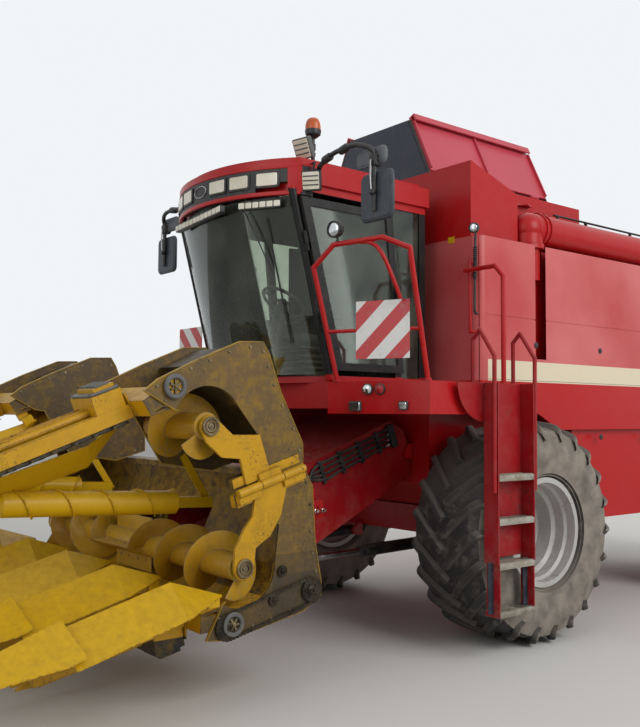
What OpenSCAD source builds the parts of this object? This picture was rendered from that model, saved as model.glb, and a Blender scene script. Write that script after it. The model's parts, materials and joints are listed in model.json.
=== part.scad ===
// Combine harvester with a folding row-crop header.
// Millimetres. +X is forward, +Y the machine's left, +Z up. Modules are drawn from the ground under
// the front axle, and at_axle() moves them so that the origin lies under the whole machine's middle.

/* [Overall] */
// Distance between the front and the rear axle
wheel_base = 3450; // [3200:10:3700]
// Snout tips of the lowered header ahead of the front axle
front_reach = 4950; // [4850:10:5000]
// Spout of the unloading auger behind the front axle
rear_reach = 5600; // [5400:10:5800]

/* [Wheels] */
// Radius of the front wheels at the lugs' tips
front_wheel_r = 885; // [870:1:890]
// Width of the front tyres
front_tyre_w = 740; // [700:5:750]
// Rim flange radius of the front wheels
front_rim_r = 435; // [420:1:450]
// Offset from the machine's middle of the front tyres
front_wheel_y = 1320; // [1310:1:1330]
// Radius of the rear wheels
rear_wheel_r = 660; // [640:1:670]
// Width of the rear tyres
rear_tyre_w = 420; // [380:5:440]
// Rim flange radius of the rear wheels
rear_rim_r = 330; // [310:1:340]
// Offset from the machine's middle of the rear tyres
rear_wheel_y = 1290; // [1280:1:1310]
// Offset from the machine's middle of the kingpins
kingpin_y = 985; // [970:1:1000]
// Radial running clearance of a stub axle or pin
run_fit = 0.08; // [0.02:0.01:0.10]
// Gap kept between curved faces that seat on each other
gap = 0.3; // [0.2:0.05:0.4]

/* [Body] */
// Half width over the body's outer side panels
body_y = 1290; // [1260:5:1300]
// Sheet thickness of the outer side panels
panel_t = 24; // [15:1:30]
// Half width of the closed separator housing
core_y = 1180; // [1150:5:1190]
// Half width of the housing between the front wheels
waist_y = 770; // [720:5:780]
// Front wall of the body ahead of the axle
body_front = 380; // [350:5:400]
// Rear end of the body's outer side panels behind the axle
body_rear = 4250; // [4150:10:4350]
// Height of the side panels' top edge
body_top = 3295; // [3280:1:3300]
// Height of the side panels' lower edge
panel_low = 1690; // [1660:5:1720]
// Height of the separator housing's flat top, under tank and engine
deck_z = 2300; // [2250:5:2340]

/* [Grain tank] */
// Half width of the tank's front part
tank_y = 1180; // [1150:5:1190]
// Rear wall of the tank behind the axle
tank_rear = 1450; // [1400:10:1500]
// Height of the tank's front edge
tank_top = 3940; // [3900:5:3970]
// Sheet thickness of the tank
tank_t = 20; // [15:1:30]
// Half width of the tank's filling opening
mouth_y = 640; // [600:5:660]
// Length of a tank cover from its hinge to its ridge
cover_len = 600; // [560:5:610]
// Lean of the open covers from upright, towards the middle
cover_lean = 25; // [20:1:30]

/* [Unloading auger] */
// Radius of the unloading tube
tube_r = 148; // [140:1:150]
// Height of the stowed tube's centre line
tube_z = 3465; // [3462:1:3475]
// Offset from the machine's middle of the stowed tube
tube_y = 1150; // [1145:1:1155]
// Swivel axis of the tube behind the axle
swivel_x = 420; // [400:5:440]

/* [Cab] */
// Half width of the cab's posts
cab_y = 850; // [820:5:860]
// Rear wall of the cab ahead of the axle
cab_rear = 560; // [540:5:600]
// Foot of the front posts ahead of the axle
post_foot = 1550; // [1520:5:1580]
// Forward lean of the front posts, in degrees
post_lean = 14.9; // [12:0.1:17]
// Height of the platform's walking surface
floor_z = 2060; // [2040:5:2080]
// Height of the cab roof's lower edge
eaves_z = 3560; // [3540:5:3580]
// Height of the cab roof's top
roof_z = 3760; // [3740:5:3800]

/* [Header] */
// Spacing of the crop rows
row_pitch = 750; // [700:10:760]
// Rows in the fixed middle part
centre_rows = 4; // [2:2:4]
// Radius of the cross auger's flights
flight_r = 205; // [190:5:215]
// Pitch of the auger flights
flight_pitch = 400; // [360:10:440]
// Inner radius of the trough under the cross auger
trough_r = 245; // [235:1:250]
// Cross auger of the middle part: distance ahead of the axle
auger_x = 2774; // [2770:1:2780]
// Cross auger of the middle part: height
auger_z = 861; // [856:1:866]
// Wing hinge line: distance ahead of the axle of its middle point
hinge_x = 2906; // [2900:1:2912]
// Wing hinge line: height of its middle point
hinge_z = 1298; // [1294:1:1302]
// Slope of the wing hinge line down to the front, in degrees
hinge_slope = 16.4; // [16:0.1:17]
// Half width of a divider hood at its lower edges
hood_w = 225; // [200:5:230]
// Height of the hoods' ridges at their highest
ridge_z = 842; // [835:1:850]
// Slope of the row units' decks down to the front, in degrees
deck_slope = 12; // [11:0.5:13]

/* [Hidden] */
$fn = 48;

// Paint and material colours
red = "#a3161a";
yellow = "#c9a21a";
black = "#1d1d1f";
dark = "#3c4249";
grey = "#8d8f8c";
silver = "#b9bab6";
rubber = "#34353a";

// Snouts' noses: radius, and height of a lowered one
nose_r = 40;
nose_z = 358;
// Place of a working wing's point [x, z] once the wing is folded
function folded_xz(p) = let (d = p - [hinge_x, hinge_z], u = [cos(hinge_slope), -sin(hinge_slope)])
    [hinge_x, hinge_z] + 2 * (d * u) * u - d;
// The part's origin lies midway between the folded wings' noses and the spout
axle_x = (rear_reach - folded_xz([front_reach - nose_r, nose_z]).x - nose_r) / 2;
module at_axle() translate([axle_x, 0, 0]) children();

// Common shapes
// Prism of a side-view outline of [x, z] points between two distances y0 < y1 from the middle
module side_prism(pts, y0, y1)
    translate([0, y1, 0]) rotate([90, 0, 0]) linear_extrude(y1 - y0) polygon(pts);
// Prism of a front-view outline of [y, z] points between x0 < x1
module front_prism(pts, x0, x1)
    translate([x0, 0, 0]) rotate([90, 0, 90]) linear_extrude(x1 - x0) polygon(pts);
module up(z) translate([0, 0, z]) children();
// Box between two opposite corners
module span(a, b) translate(a) cube(b - a);
// The same solid left and right
module both_sides() for (s = [0, 1]) mirror([0, s, 0]) children();
// Round bar from p to q
module bar(p, q, r) {
    v = q - p;
    l = norm(v);
    translate(p) rotate([0, acos(v.z / l), atan2(v.y, v.x)]) cylinder(r = r, h = l);
}
// Bent tube through a list of points, with round joints
module pipe(pts, r) {
    for (i = [0 : len(pts) - 2]) bar(pts[i], pts[i + 1], r);
    for (i = [1 : len(pts) - 2]) translate(pts[i]) sphere(r = r * 1.03);
}
// Disc or drum whose axis runs along Y, from y0 to y1
module drum(x, z, y0, y1, r) translate([x, y0, z]) rotate([-90, 0, 0]) cylinder(r = r, h = y1 - y0);
// Points mirrored across the second axis, in reverse order
function flip_y(pts) = [for (i = [len(pts) - 1 : -1 : 0]) [pts[i].x, -pts[i].y]];
// Whole front-view outline from its left half's points
function sym(half) = concat(half, [for (i = [len(half) - 1 : -1 : 0]) [-half[i].x, half[i].y]]);
// Place ahead of the axle of the front posts' middle line at height z
function post_x(z) = post_foot + (z - floor_z) * tan(post_lean);

// Wheels
rim_t = 12;
front_stub_r = 95;
rear_stub_r = 55;
// Rim of width 2h as [radius, offset along the axle]: flanges, bead seats, step, well and disc
module rim(flange_r, h, disc_y, bore_r) {
    t = rim_t;
    seat_r = flange_r - bead_h;
    step_r = seat_r - 0.05 * flange_r;
    well_r = seat_r - 0.13 * flange_r;
    outside = [[flange_r, -h], [flange_r, -h + t], [seat_r, -h + t], [seat_r, -0.80 * h],
        [well_r, -0.68 * h], [well_r, 0.40 * h], [step_r, 0.46 * h], [step_r, 0.72 * h],
        [seat_r, 0.78 * h], [seat_r, h - t], [flange_r, h - t], [flange_r, h]];
    inside = [[seat_r - t, h], [seat_r - t, 0.76 * h], [step_r - t, 0.70 * h], [step_r - t, 0.44 * h],
        [well_r - t, 0.38 * h]];
    disc = [[well_r - t, disc_y + 30], [well_r - t - 30, disc_y + 12], [bore_r + 105, disc_y + 12],
        [bore_r + 60, disc_y + hub_h], [bore_r, disc_y + hub_h], [bore_r, disc_y - 10],
        [bore_r + 50, disc_y - 10], [bore_r + 95, disc_y], [well_r - t - 26, disc_y],
        [well_r - t, disc_y + 16]];
    rotate([-90, 0, 0]) rotate_extrude() polygon(concat(outside, inside, disc,
        [[well_r - t, -0.66 * h], [seat_r - t, -0.78 * h], [seat_r - t, -h]]));
}
// Tyre: an open shell from bead to bead with chevron lugs in two staggered halves
module tyre(r, w, flange_r, rim_h, lug_h, lugs) {
    seat_r = flange_r - bead_h + gap;
    bead_y = rim_h - rim_t - gap;
    h = r - seat_r;
    // Outer half section out to radius top, and the hollow's half section
    function outer(top, shoulder) = [[seat_r, bead_y], [flange_r + 3, bead_y],
        [flange_r + 18, 0.47 * w], [seat_r + 0.42 * h, w / 2], [seat_r + 0.70 * h, 0.49 * w],
        [top - 0.08 * h, shoulder * w], [top, (shoulder - 0.06) * w]];
    hollow = [[seat_r + 0.84 * h - lug_h, 0.36 * w], [seat_r + 0.62 * h, 0.43 * w],
        [seat_r + 0.42 * h, 0.445 * w], [seat_r + 0.14 * h, 0.39 * w], [seat_r - 1, 0.31 * w]];
    difference() {
        union() {
            revolve_both(outer(r - lug_h, 0.44));
            intersection() {
                revolve_both(outer(r, 0.45));
                for (i = [0 : lugs - 1]) for (s = [0, 1]) rotate([0, (i + s / 2) * 360 / lugs, 0])
                    mirror([0, s, 0]) lug(r, w, lug_h);
            }
        }
        revolve_both(hollow);
    }
}
// Ring round the axle whose half section is pts, from its low outer corner to its top
module revolve_both(pts) rotate([-90, 0, 0]) rotate_extrude()
    polygon(concat(pts, flip_y(pts)));
// Lug at the front of the wheel, from the middle out and up at 45 degrees
module lug(r, w, lug_h) rotate([45, 0, 0]) translate([0, 4, 0]) rotate([-90, 0, 0])
    linear_extrude(0.75 * w) polygon([[r - lug_h - 45, -40], [r + 10, -24], [r + 10, 24], [r - lug_h - 45, 40]]);
// Rim flanges stand this far above the bead seats, and hubs this far out of their discs
bead_h = 30;
hub_h = 60;
// Distance of the front rims' discs from the tyre's middle, outwards
front_disc_y = -40;
rear_disc_y = 20;
front_rim_h = front_tyre_w * 0.43;
rear_rim_h = rear_tyre_w * 0.43;
module front_wheel_place() translate([0, front_wheel_y, front_wheel_r]) children();
module rear_wheel_place() translate([-wheel_base, rear_wheel_y, rear_wheel_r]) children();
module rim_front() color(silver) at_axle() front_wheel_place()
    rim(front_rim_r, front_rim_h, front_disc_y, front_stub_r + run_fit);
module rim_rear() color(silver) at_axle() rear_wheel_place()
    rim(rear_rim_r, rear_rim_h, rear_disc_y, rear_stub_r + run_fit);
module tyre_front() color(rubber) at_axle() front_wheel_place()
    tyre(front_wheel_r, front_tyre_w, front_rim_r, front_rim_h, 45, 22);
module tyre_rear() color(rubber) at_axle() rear_wheel_place()
    tyre(rear_wheel_r, rear_tyre_w, rear_rim_r, rear_rim_h, 36, 20);
module rim_front_left() rim_front();
module rim_front_right() mirror([0, 1, 0]) rim_front();
module rim_rear_left() rim_rear();
module rim_rear_right() mirror([0, 1, 0]) rim_rear();
module tyre_front_left() tyre_front();
module tyre_front_right() mirror([0, 1, 0]) tyre_front();
module tyre_rear_left() tyre_rear();
module tyre_rear_right() mirror([0, 1, 0]) tyre_rear();

// Axles and frame
axle_beam_h = 240;
rail_z0 = 760;
rail_z1 = 890;
rail_y = 560;
rail_w = 80;
rail_rear = 4150;
step_x = -2700;
rear_rail_z = 960;
rear_rail_h = 130;
beam_z = 790;
beam_h = 150;
// Yoke ears above and below the knuckle, with the heights of their inner faces
kingpin_r = 30;
spindle_r = 80;
ear_h = 60;
ear_top = beam_z + beam_h - 30;
ear_low = rear_wheel_r - spindle_r - 14;
module front_axle() color(red) at_axle() {
    // Cross beam under the housing
    span([-130, -waist_y - 20, front_wheel_r - axle_beam_h / 2 - 10],
         [130, waist_y + 20, front_wheel_r + axle_beam_h / 2 - 10]);
    both_sides() {
        // Clevis ear and pin of a lift cylinder
        side_prism([[130, 650], [cyl_foot.x, 655], [cyl_foot.x + 40, cyl_foot.z],
            [cyl_foot.x, 745], [130, 800]], cyl_y - 20, cyl_y + 20);
        drum(cyl_foot.x, cyl_foot.z, cyl_y + 20, cyl_y + 96, pin_r - run_fit);
        // Final drive casing, inside the wheel
        side_prism([[-190, 700], [190, 700], [190, 1040], [110, 1150], [-110, 1150], [-190, 1040]],
            waist_y + 20, waist_y + 140);
        drum(0, front_wheel_r, waist_y + 140, front_wheel_y + front_disc_y - 12, 165);
        drum(0, front_wheel_r, front_wheel_y + front_disc_y - 12,
            front_wheel_y + front_disc_y + hub_h + 15, front_stub_r);
        drum(0, front_wheel_r, front_wheel_y + front_disc_y + hub_h + 2,
            front_wheel_y + front_disc_y + hub_h + 30, front_stub_r + 30);
    }
}
// Members of the frame are separate bars with a welding gap between them
module chassis_frame() color(red) at_axle() {
    g = gap;
    rear_top = rear_rail_z + rear_rail_h;
    both_sides() {
        // Rails under the housing, risers, and rails over the steering axle
        span([step_x, rail_y, rail_z0], [-130 - g, rail_y + rail_w, rail_z1]);
        span([step_x, rail_y, rail_z1 + g], [step_x + 110, rail_y + rail_w, core_low - g]);
        span([step_x - 110, rail_y, rail_z0], [step_x - g, rail_y + rail_w, 1020]);
        span([-rail_rear, rail_y, rear_rail_z], [step_x - 110 - g, rail_y + rail_w, rear_top]);
        for (x = [-rail_rear, -wheel_base - 60])
            span([x, rail_y, rear_top + g], [x + 110, rail_y + rail_w, core_low_rear - g]);
        for (x = [-900, -1500, -2200])
            span([x, rail_y, rail_z1 + g], [x + 120, rail_y + rail_w, core_low - g]);
    }
    // Cross members
    span([-1790, -rail_y + g, rail_z0], [-1700, rail_y - g, rail_z1]);
    span([-rail_rear, -rail_y + g, rear_rail_z], [-rail_rear + 90, rail_y - g, rear_top]);
    // Pivot bracket of the rear axle: two plates and a web
    for (x = [-140, 90]) span([-wheel_base + x, -rail_y + g, rear_rail_z],
        [-wheel_base + x + 50, rail_y - g, rear_top]);
    span([-wheel_base - 90 + g, -rail_y + g, rear_rail_z + 60 + g],
         [-wheel_base + 90 - g, rail_y - g, rear_top]);
    // Drawbar under the chopper, with a clevis for a trailer's pin
    span([-rail_rear, -90, drawbar_z - 40], [-rail_rear + 90, 90, rear_rail_z - g]);
    span([-drawbar_x + 70, -50, drawbar_z - 40], [-rail_rear - g, 50, drawbar_z + 40]);
    for (z = [-40, 15]) difference() {
        span([-drawbar_x - 60, -50, drawbar_z + z], [-drawbar_x + 70 - g, 50, drawbar_z + z + 25]);
        translate([-drawbar_x, 0, drawbar_z - 41]) cylinder(r = drawbar_r, h = 82);
    }
}
drawbar_x = 5060;
drawbar_z = 740;
drawbar_r = 16;
module rear_axle() color(red) at_axle() translate([-wheel_base, 0, 0]) {
    yoke_y = kingpin_y;
    difference() {
        union() {
            span([-80, -yoke_y + 75, beam_z], [80, yoke_y - 75, beam_z + beam_h]);
            // Saddle that hangs the beam on the frame's pivot bracket
            span([-60, -rail_y + 70, beam_z + beam_h], [60, rail_y - 70, rear_rail_z + 60]);
            both_sides() for (z = [ear_top, ear_low - ear_h]) {
                translate([0, yoke_y, z]) cylinder(r = 75, h = ear_h);
                span([-60, yoke_y - 170, z], [60, yoke_y - 20, z + ear_h]);
            }
            both_sides() span([-60, yoke_y - 170, ear_low - ear_h], [60, yoke_y - 115, beam_z]);
        }
        both_sides() translate([0, yoke_y, ear_low - ear_h - 1])
            cylinder(r = kingpin_r + run_fit, h = ear_top - ear_low + 2 * ear_h + 2);
    }
    // Steering cylinder across the back of the beam
    drum(-130, beam_z + 60, -260, 260, 42);
    drum(-130, beam_z + 60, -440, 440, 18);
    both_sides() span([-140, 180, beam_z + 40], [-80, 220, beam_z + 80]);
}
module knuckle() color(red) at_axle() translate([-wheel_base, kingpin_y, 0]) {
    // Upright between the yoke's ears, with its kingpin
    up(ear_low + 6) cylinder(r = 62, h = ear_top - ear_low - 12);
    up(ear_low - ear_h - 6) cylinder(r = kingpin_r, h = ear_top - ear_low + 2 * ear_h + 12);
    // Spindle out to the wheel
    hub = rear_wheel_y + rear_disc_y - kingpin_y;
    drum(0, rear_wheel_r, 0, hub - 12, spindle_r);
    drum(0, rear_wheel_r, 0, hub + hub_h + 15, rear_stub_r);
    drum(0, rear_wheel_r, hub + hub_h + 2, hub + hub_h + 25, rear_stub_r + 22);
    // Steering arm
    span([-230, -50, beam_z - 60], [-40, 10, beam_z - 20]);
}
module knuckle_left() knuckle();
module knuckle_right() mirror([0, 1, 0]) knuckle();

// Separator housing: a closed sheet body, wide above the wheels and narrow between them
core_front = 290;
core_low = 900;
core_low_rear = 1450;
core_rear = 4230;
core_arch = 1850;
front_bay = -960;
rear_bay = -2620;
fan_r = 350;
module separator_housing() color(red) at_axle() {
    side_prism([[core_front, core_arch], [core_front, deck_z], [-core_rear, deck_z], [-core_rear, core_low_rear],
        [-2950, core_low_rear], [rear_bay, core_low], [front_bay, core_low], [front_bay, core_arch]],
        -core_y, core_y);
    // Waist between the front wheels, and the throat that takes the feeder house
    side_prism([[throat_x, 1230], [throat_x, core_arch], [front_bay, core_arch], [front_bay, core_low],
        [-700, core_low], [-420, 1020], [200, 1020]], -waist_y, waist_y);
    // Ears and pins that carry the feeder house
    both_sides() {
        side_prism([[throat_x, pivot_z - 70], [pivot_x + 20, pivot_z - 60], [pivot_x + 50, pivot_z],
            [pivot_x + 20, pivot_z + 60], [throat_x, pivot_z + 70]], neck_y + 6, neck_y + 36);
        drum(pivot_x, pivot_z, neck_y - 36, neck_y + 6, pivot_r);
    }
    // Cleaning fan and the two cross conveyors under it
    drum(-1330, core_low - 40, -540, 540, fan_r);
    for (x = [-1980, -2420]) drum(x, core_low, -500, 500, 150);
}

// Outer side panels
arch_x = 120;
arch_z = 600;
arch_r = 1325;
seam = 8;
panel_split = -2150;
shield_y = 1225;
crease_z = 2640;
corner_r = 90;
module side_panels(mirrored) color(red) at_axle() mirror([0, mirrored, 0]) {
    // Front panel with its wheel arch, wrapped round the body's front corner
    difference() {
        intersection() {
            up(1500) linear_extrude(body_top - 1500) difference() {
                union() {
                    translate([panel_split + seam / 2, 560])
                        square([body_front - panel_split - seam / 2, body_y - 560 - corner_r]);
                    translate([panel_split + seam / 2, 560])
                        square([body_front - panel_split - seam / 2 - corner_r, body_y - 560]);
                    translate([body_front - corner_r, body_y - corner_r]) circle(r = corner_r);
                }
                translate([panel_split - 10, 550])
                    square([body_front - panel_split + 10 - panel_t, body_y - 550 - panel_t]);
            }
            side_prism([[body_front + 1, 1920], [body_front + 1, body_top + 1],
                [panel_split, body_top + 1], [panel_split, panel_low], [-400, panel_low],
                [-400, 1500], [200, 1500], [200, 1920]], 0, body_y + 1);
        }
        drum(arch_x, arch_z, 0, body_y + 1, arch_r);
        // Notch for the unloading auger's elbow
        if (mirrored == 0) translate([-swivel_x, tube_y, tank_floor]) cylinder(r = tube_r + 10, h = 1000);
        // Crease along the panel
        span([panel_split, body_y - 5, crease_z - 6], [body_front - corner_r, body_y + 1, crease_z + 6]);
    }
    // Rear panel over the engine bay and the rear wheel
    difference() {
        side_prism([[panel_split - seam / 2, panel_low], [panel_split - seam / 2, body_top],
            [-body_rear + 260, body_top], [-body_rear, body_top - 420], [-body_rear, core_low_rear],
            [-2950, core_low_rear], [-2760, panel_low]], body_y - panel_t, body_y);
        for (i = [0 : 8]) span([-3900, body_y - panel_t - 1, 2760 + 48 * i],
            [mirrored == 0 ? -2500 : screen_x - screen_r - 60, body_y + 1, 2782 + 48 * i]);
        span([-body_rear, body_y - 5, crease_z - 6], [panel_split, body_y + 1, crease_z + 6]);
        // Round opening for the air screen
        if (mirrored == 1) drum(screen_x, screen_z, body_y - panel_t - 1, body_y + 1, screen_r + 12);
    }
    // Lower shield, set in, between the wheels
    side_prism([[front_bay + 20, 870], [front_bay + 20, panel_low - 6], [-2766, panel_low - 6],
        [rear_bay + 10, 870]], shield_y - panel_t, shield_y);
    // Brackets that carry panels and shield on the housing
    for (x = [-1100, -2000]) span([x, core_y, 1720], [x + 60, body_y - panel_t, 1790]);
    for (x = [-1100, -2400]) span([x, core_y, 1000], [x + 60, shield_y - panel_t, 1060]);
    for (x = [-2300, -3300, -4100]) span([x, core_y, 2200], [x + 60, body_y - panel_t, 2260]);
    span([200, core_y, 2200], [260, body_y - panel_t, 2260]);
}
module side_panels_left() side_panels(0);
module side_panels_right() side_panels(1);

// Grain tank
tank_front = body_front - panel_t;
tank_step = -250;
tank_waist_y = 975;
tank_floor = deck_z;
rim_z = 3935;
eave_z = 3735;
mouth_front = tank_front - 60;
mouth_rear = -tank_rear + 160;
waist_eave_z = 3830;
shoulder_z = body_top - 20;
hopper_z = 2750;
hopper_y = 240;
module grain_tank() color(red) at_axle() difference() {
    union() {
        front_prism(sym([[tank_y, tank_floor], [tank_y, eave_z], [mouth_y + 20, rim_z]]),
            tank_step, tank_front);
        // Rear part, stepped in above its shoulder for the stowed tube
        front_prism(sym([[tank_y, tank_floor], [tank_y, shoulder_z], [tank_waist_y, shoulder_z],
            [tank_waist_y, waist_eave_z], [mouth_y + 20, rim_z]]), -tank_rear, tank_step);
        // Front wall and side cheeks up to the tank's front edge
        span([tank_front - tank_t, -tank_y, eave_z - 30], [tank_front, tank_y, tank_top]);
        both_sides() side_prism([[tank_front, eave_z - 30], [tank_front, tank_top],
            [tank_step, eave_z + 8], [tank_step, eave_z - 30]], tank_y - tank_t, tank_y);
        // Gusset over the elbow
        both_sides() up(eave_z - 12) linear_extrude(12)
            polygon([[tank_step, tank_waist_y - 5], [tank_step, tank_y], [-660, tank_waist_y + 40],
                [-660, tank_waist_y - 5]]);
        // Bearers of the covers' knuckles, and the coaming round the filling opening
        both_sides() for (x = cover_knuckle_xs)
            span([x, cover_y - 14, rim_z - 30], [x + 120, cover_y + 8, cover_z - 13 - gap]);
        span([mouth_rear - 15, -mouth_y - 15, rim_z - 10], [mouth_front + 15, mouth_y + 15, rim_z + 15]);
    }
    // Inside: a hopper floor, the wide front and the narrow rear
    low = [[hopper_y, tank_floor + tank_t], [tank_y - tank_t, hopper_z]];
    front_prism(sym(concat(low, [[tank_y - tank_t, eave_z - 12], [mouth_y + 15, rim_z - tank_t]])),
        tank_step + tank_t, tank_front - tank_t);
    front_prism(sym(concat(low, [[tank_y - tank_t, shoulder_z - tank_t],
        [tank_waist_y - tank_t, shoulder_z - tank_t], [tank_waist_y - tank_t, waist_eave_z - 15],
        [mouth_y + 15, rim_z - tank_t]])), -tank_rear + tank_t, tank_step + tank_t + 1);
    span([mouth_rear, -mouth_y, rim_z - 60], [mouth_front, mouth_y, rim_z + 20]);
    // Pocket for the riser of the unloading auger
    translate([-swivel_x, tube_y, tank_floor + 700]) cylinder(r = tube_r + 14, h = 900);
    span([-swivel_x - tube_r - 14, tube_y, tank_floor + 700],
         [-swivel_x + tube_r + 14, tank_y + 1, body_top + 1]);
}
cover_y = mouth_y + 30;
cover_z = rim_z + 28;
cover_t = 16;
cover_front = tank_front - 50;
cover_back = mouth_rear - 40;
cover_knuckle_xs = [cover_back + 120, (cover_back + cover_front) / 2 - 60, cover_front - 240];
// A cover drawn upright on its hinge line, leaning inwards by cover_lean
module tank_cover(mirrored) color(red) at_axle() mirror([0, mirrored, 0])
    translate([0, cover_y, cover_z]) rotate([cover_lean, 0, 0]) {
        span([cover_back, -cover_t / 2, 12], [cover_front, cover_t / 2, cover_len]);
        // Ridge flange, stiffening ribs and hinge knuckles
        span([cover_back, -cover_t / 2 - 10, cover_len], [cover_front, cover_t / 2 + 45, cover_len + 14]);
        span([cover_back, cover_t / 2 + 31, cover_len - 50], [cover_front, cover_t / 2 + 45, cover_len]);
        for (x = [cover_back, (cover_back + cover_front) / 2, cover_front - 14])
            span([x, cover_t / 2, 30], [x + 14, cover_t / 2 + 25, cover_len - 50]);
        for (x = cover_knuckle_xs) translate([x, 0, 0]) rotate([0, 90, 0]) cylinder(r = 13, h = 120);
    }
module tank_cover_left() tank_cover(0);
module tank_cover_right() tank_cover(1);
module tank_end_panels() color(dark) at_axle() {
    low = cover_y - 20;
    high = cover_y - cover_len * sin(cover_lean) - 10;
    top = cover_z + cover_len * cos(cover_lean) - 20;
    for (x = [cover_front + 8, cover_back - 20])
        front_prism(sym([[low, rim_z + 15], [high, top]]), x, x + 12);
    // Feet on the tank's roof
    for (x = [cover_front + 8, cover_back - 20]) for (y = [-500, 380])
        span([x, y, rim_z], [x + 12, y + 120, rim_z + 15]);
}

// Unloading auger
swivel_z = tube_z - 165;
module auger_elbow() color(red) at_axle() translate([-swivel_x, tube_y, 0]) {
    // Riser and the fixed half of the swivel
    up(tank_floor + 700) cylinder(r = tube_r - 40, h = swivel_z - 15 - tank_floor - 700);
    up(swivel_z - 20) cylinder(r = tube_r, h = 20);
    span([-60, -tube_r - 27, 3160], [60, -tube_r + 60, 3220]);
}
module unloading_auger() color(red) at_axle() translate([-swivel_x, tube_y, 0]) {
    difference() {
        union() {
            up(swivel_z + gap) cylinder(r = tube_r, h = 20);
            up(tube_z - 140) cylinder(r = tube_r - 12, h = 140);
            up(tube_z) sphere(r = tube_r - 2);
            up(tube_z) rotate([0, -90, 0]) cylinder(r = tube_r, h = tube_end);
            for (x = [90, 150]) translate([-x, 0, tube_z]) rotate([0, -90, 0])
                cylinder(r = tube_r + 12, h = 14);
            // Spout, turned down
            translate([-tube_end + tube_r, 0, tube_z - 420]) cylinder(r = tube_r - 10, h = 420);
        }
        translate([-tube_end + tube_r, 0, tube_z - 421]) cylinder(r = tube_r - 22, h = 421);
        translate([-tube_end + 12, 0, tube_z]) rotate([0, 90, 0])
            cylinder(r = tube_r - 14, h = tube_end - 400);
    }
    // Flight shaft inside the tube
    translate([-tube_end + 12, 0, tube_z]) rotate([0, 90, 0]) cylinder(r = 30, h = tube_end - 400);
}
tube_end = rear_reach - swivel_x;

// Engine bay
hood_front = -1500;
hood_top = 3290;
screen_x = -2850;
screen_z = 2790;
screen_r = 430;
module engine_block() color(dark) at_axle() {
    span([-3150, -430, deck_z + 60], [-2050, 430, deck_z + 860]);
    for (x = [-3050, -2250]) both_sides() span([x, 300, deck_z], [x + 120, 400, deck_z + 60]);
}
module engine_hood() color(red) at_axle() {
    engine_shell();
    // Bearing bar of the air screen's shaft
    span([screen_x - 40, screen_shaft_end + gap, deck_z],
         [screen_x + 40, screen_shaft_end + 40, hood_top - 25]);
}
module engine_shell() difference() {
    union() {
        side_prism([[hood_front, deck_z], [hood_front, hood_top], [-3700, hood_top],
            [-4180, hood_top - 420], [-4180, deck_z]], -core_y, core_y);
        // Deck rail frame and the raised middle
        side_prism([[hood_front - 60, hood_top], [hood_front - 160, hood_top + 120],
            [-2700, hood_top + 120], [-2900, hood_top]], -620, 620);
    }
    side_prism([[hood_front - 25, deck_z - 1], [hood_front - 25, hood_top - 25], [-3690, hood_top - 25],
        [-4155, hood_top - 430], [-4155, deck_z - 1]], -core_y + 25, core_y - 25);
    // Opening of the air screen on the right, louvres in the top
    drum(screen_x, screen_z, -core_y - 1, -core_y + 30, screen_r + 8);
    for (i = [0 : 5]) span([-3600 + i * 110, -500, hood_top - 30], [-3550 + i * 110, 500, hood_top + 1]);
}
screen_shaft_end = -core_y + 60;
// Rotating air screen: a shallow perforated drum on the right side
module air_screen() color(black) at_axle() {
    difference() {
        drum(screen_x, screen_z, -body_y + 30, -core_y - 6, screen_r);
        drum(screen_x, screen_z, -body_y + 45, -core_y, screen_r - 14);
        for (a = [0 : 30 : 330]) translate([screen_x, 0, screen_z]) rotate([0, a, 0])
            span([170, -body_y, -30], [screen_r - 50, -body_y + 50, 30]);
    }
    drum(screen_x, screen_z, -body_y + 20, screen_shaft_end, 28);
}

// Rear hood and chopper
hood_rear = 5050;
module rear_hood() color(red) at_axle() difference() {
    side_prism([[-core_rear, 1250], [-core_rear, 2700], [-4700, 2560], [-hood_rear, 2150],
        [-hood_rear, 1500], [-4900, 1250]], -900, 900);
    side_prism([[-core_rear - 25, 1249], [-core_rear - 25, 2660], [-4690, 2525], [-hood_rear + 30, 2130],
        [-hood_rear + 30, 1510], [-4880, 1249]], -870, 870);
}
rotor_x = -4680;
rotor_z = 1120;
rotor_r = 210;
module chopper_housing() color(dark) at_axle() {
    difference() {
        side_prism([[-4350, 1000], [-4350, 1240], [-4900, 1240], [-5030, 1000], [-4900, 870],
            [-4480, 870]], -820, 820);
        side_prism([[-4370, 1010], [-4370, 1241], [-4890, 1241], [-5060, 1010], [-4890, 890],
            [-4490, 890]], -800, 800);
        drum(rotor_x, rotor_z, -830, 830, 30 + run_fit);
    }
    // Deflector tail with its fins
    side_prism([[-4998, 1060], [-5500, 900], [-5500, 912], [-4990, 1075]], -820, 820);
    for (y = [-780 : 195 : 780]) side_prism([[-5010, 900], [-5000, 1059], [-5480, 906], [-5440, 800]],
        y - 4, y + 4);
    // Hangers on the rear hood
    both_sides() span([-4620, 820, 1180], [-4520, 870, 1252]);
}
module chopper_rotor() color(grey) at_axle() {
    drum(rotor_x, rotor_z, -850, 850, 30);
    drum(rotor_x, rotor_z, -790, 790, 75);
    for (i = [0 : 15]) translate([rotor_x, -750 + i * 100, rotor_z]) rotate([0, (i % 4) * 45, 0])
        span([-rotor_r, -5, -25], [rotor_r, 5, 25]);
}

// Cab
screen_bulge = 232;
glass_t = 8;
post_r = 34;
brow_z = 3460;
roof_front_r = 1250;
roof_mid_x = 1000;
roof_y = 880;
rear_post_x = 900;
quarter_x = 700;
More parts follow.
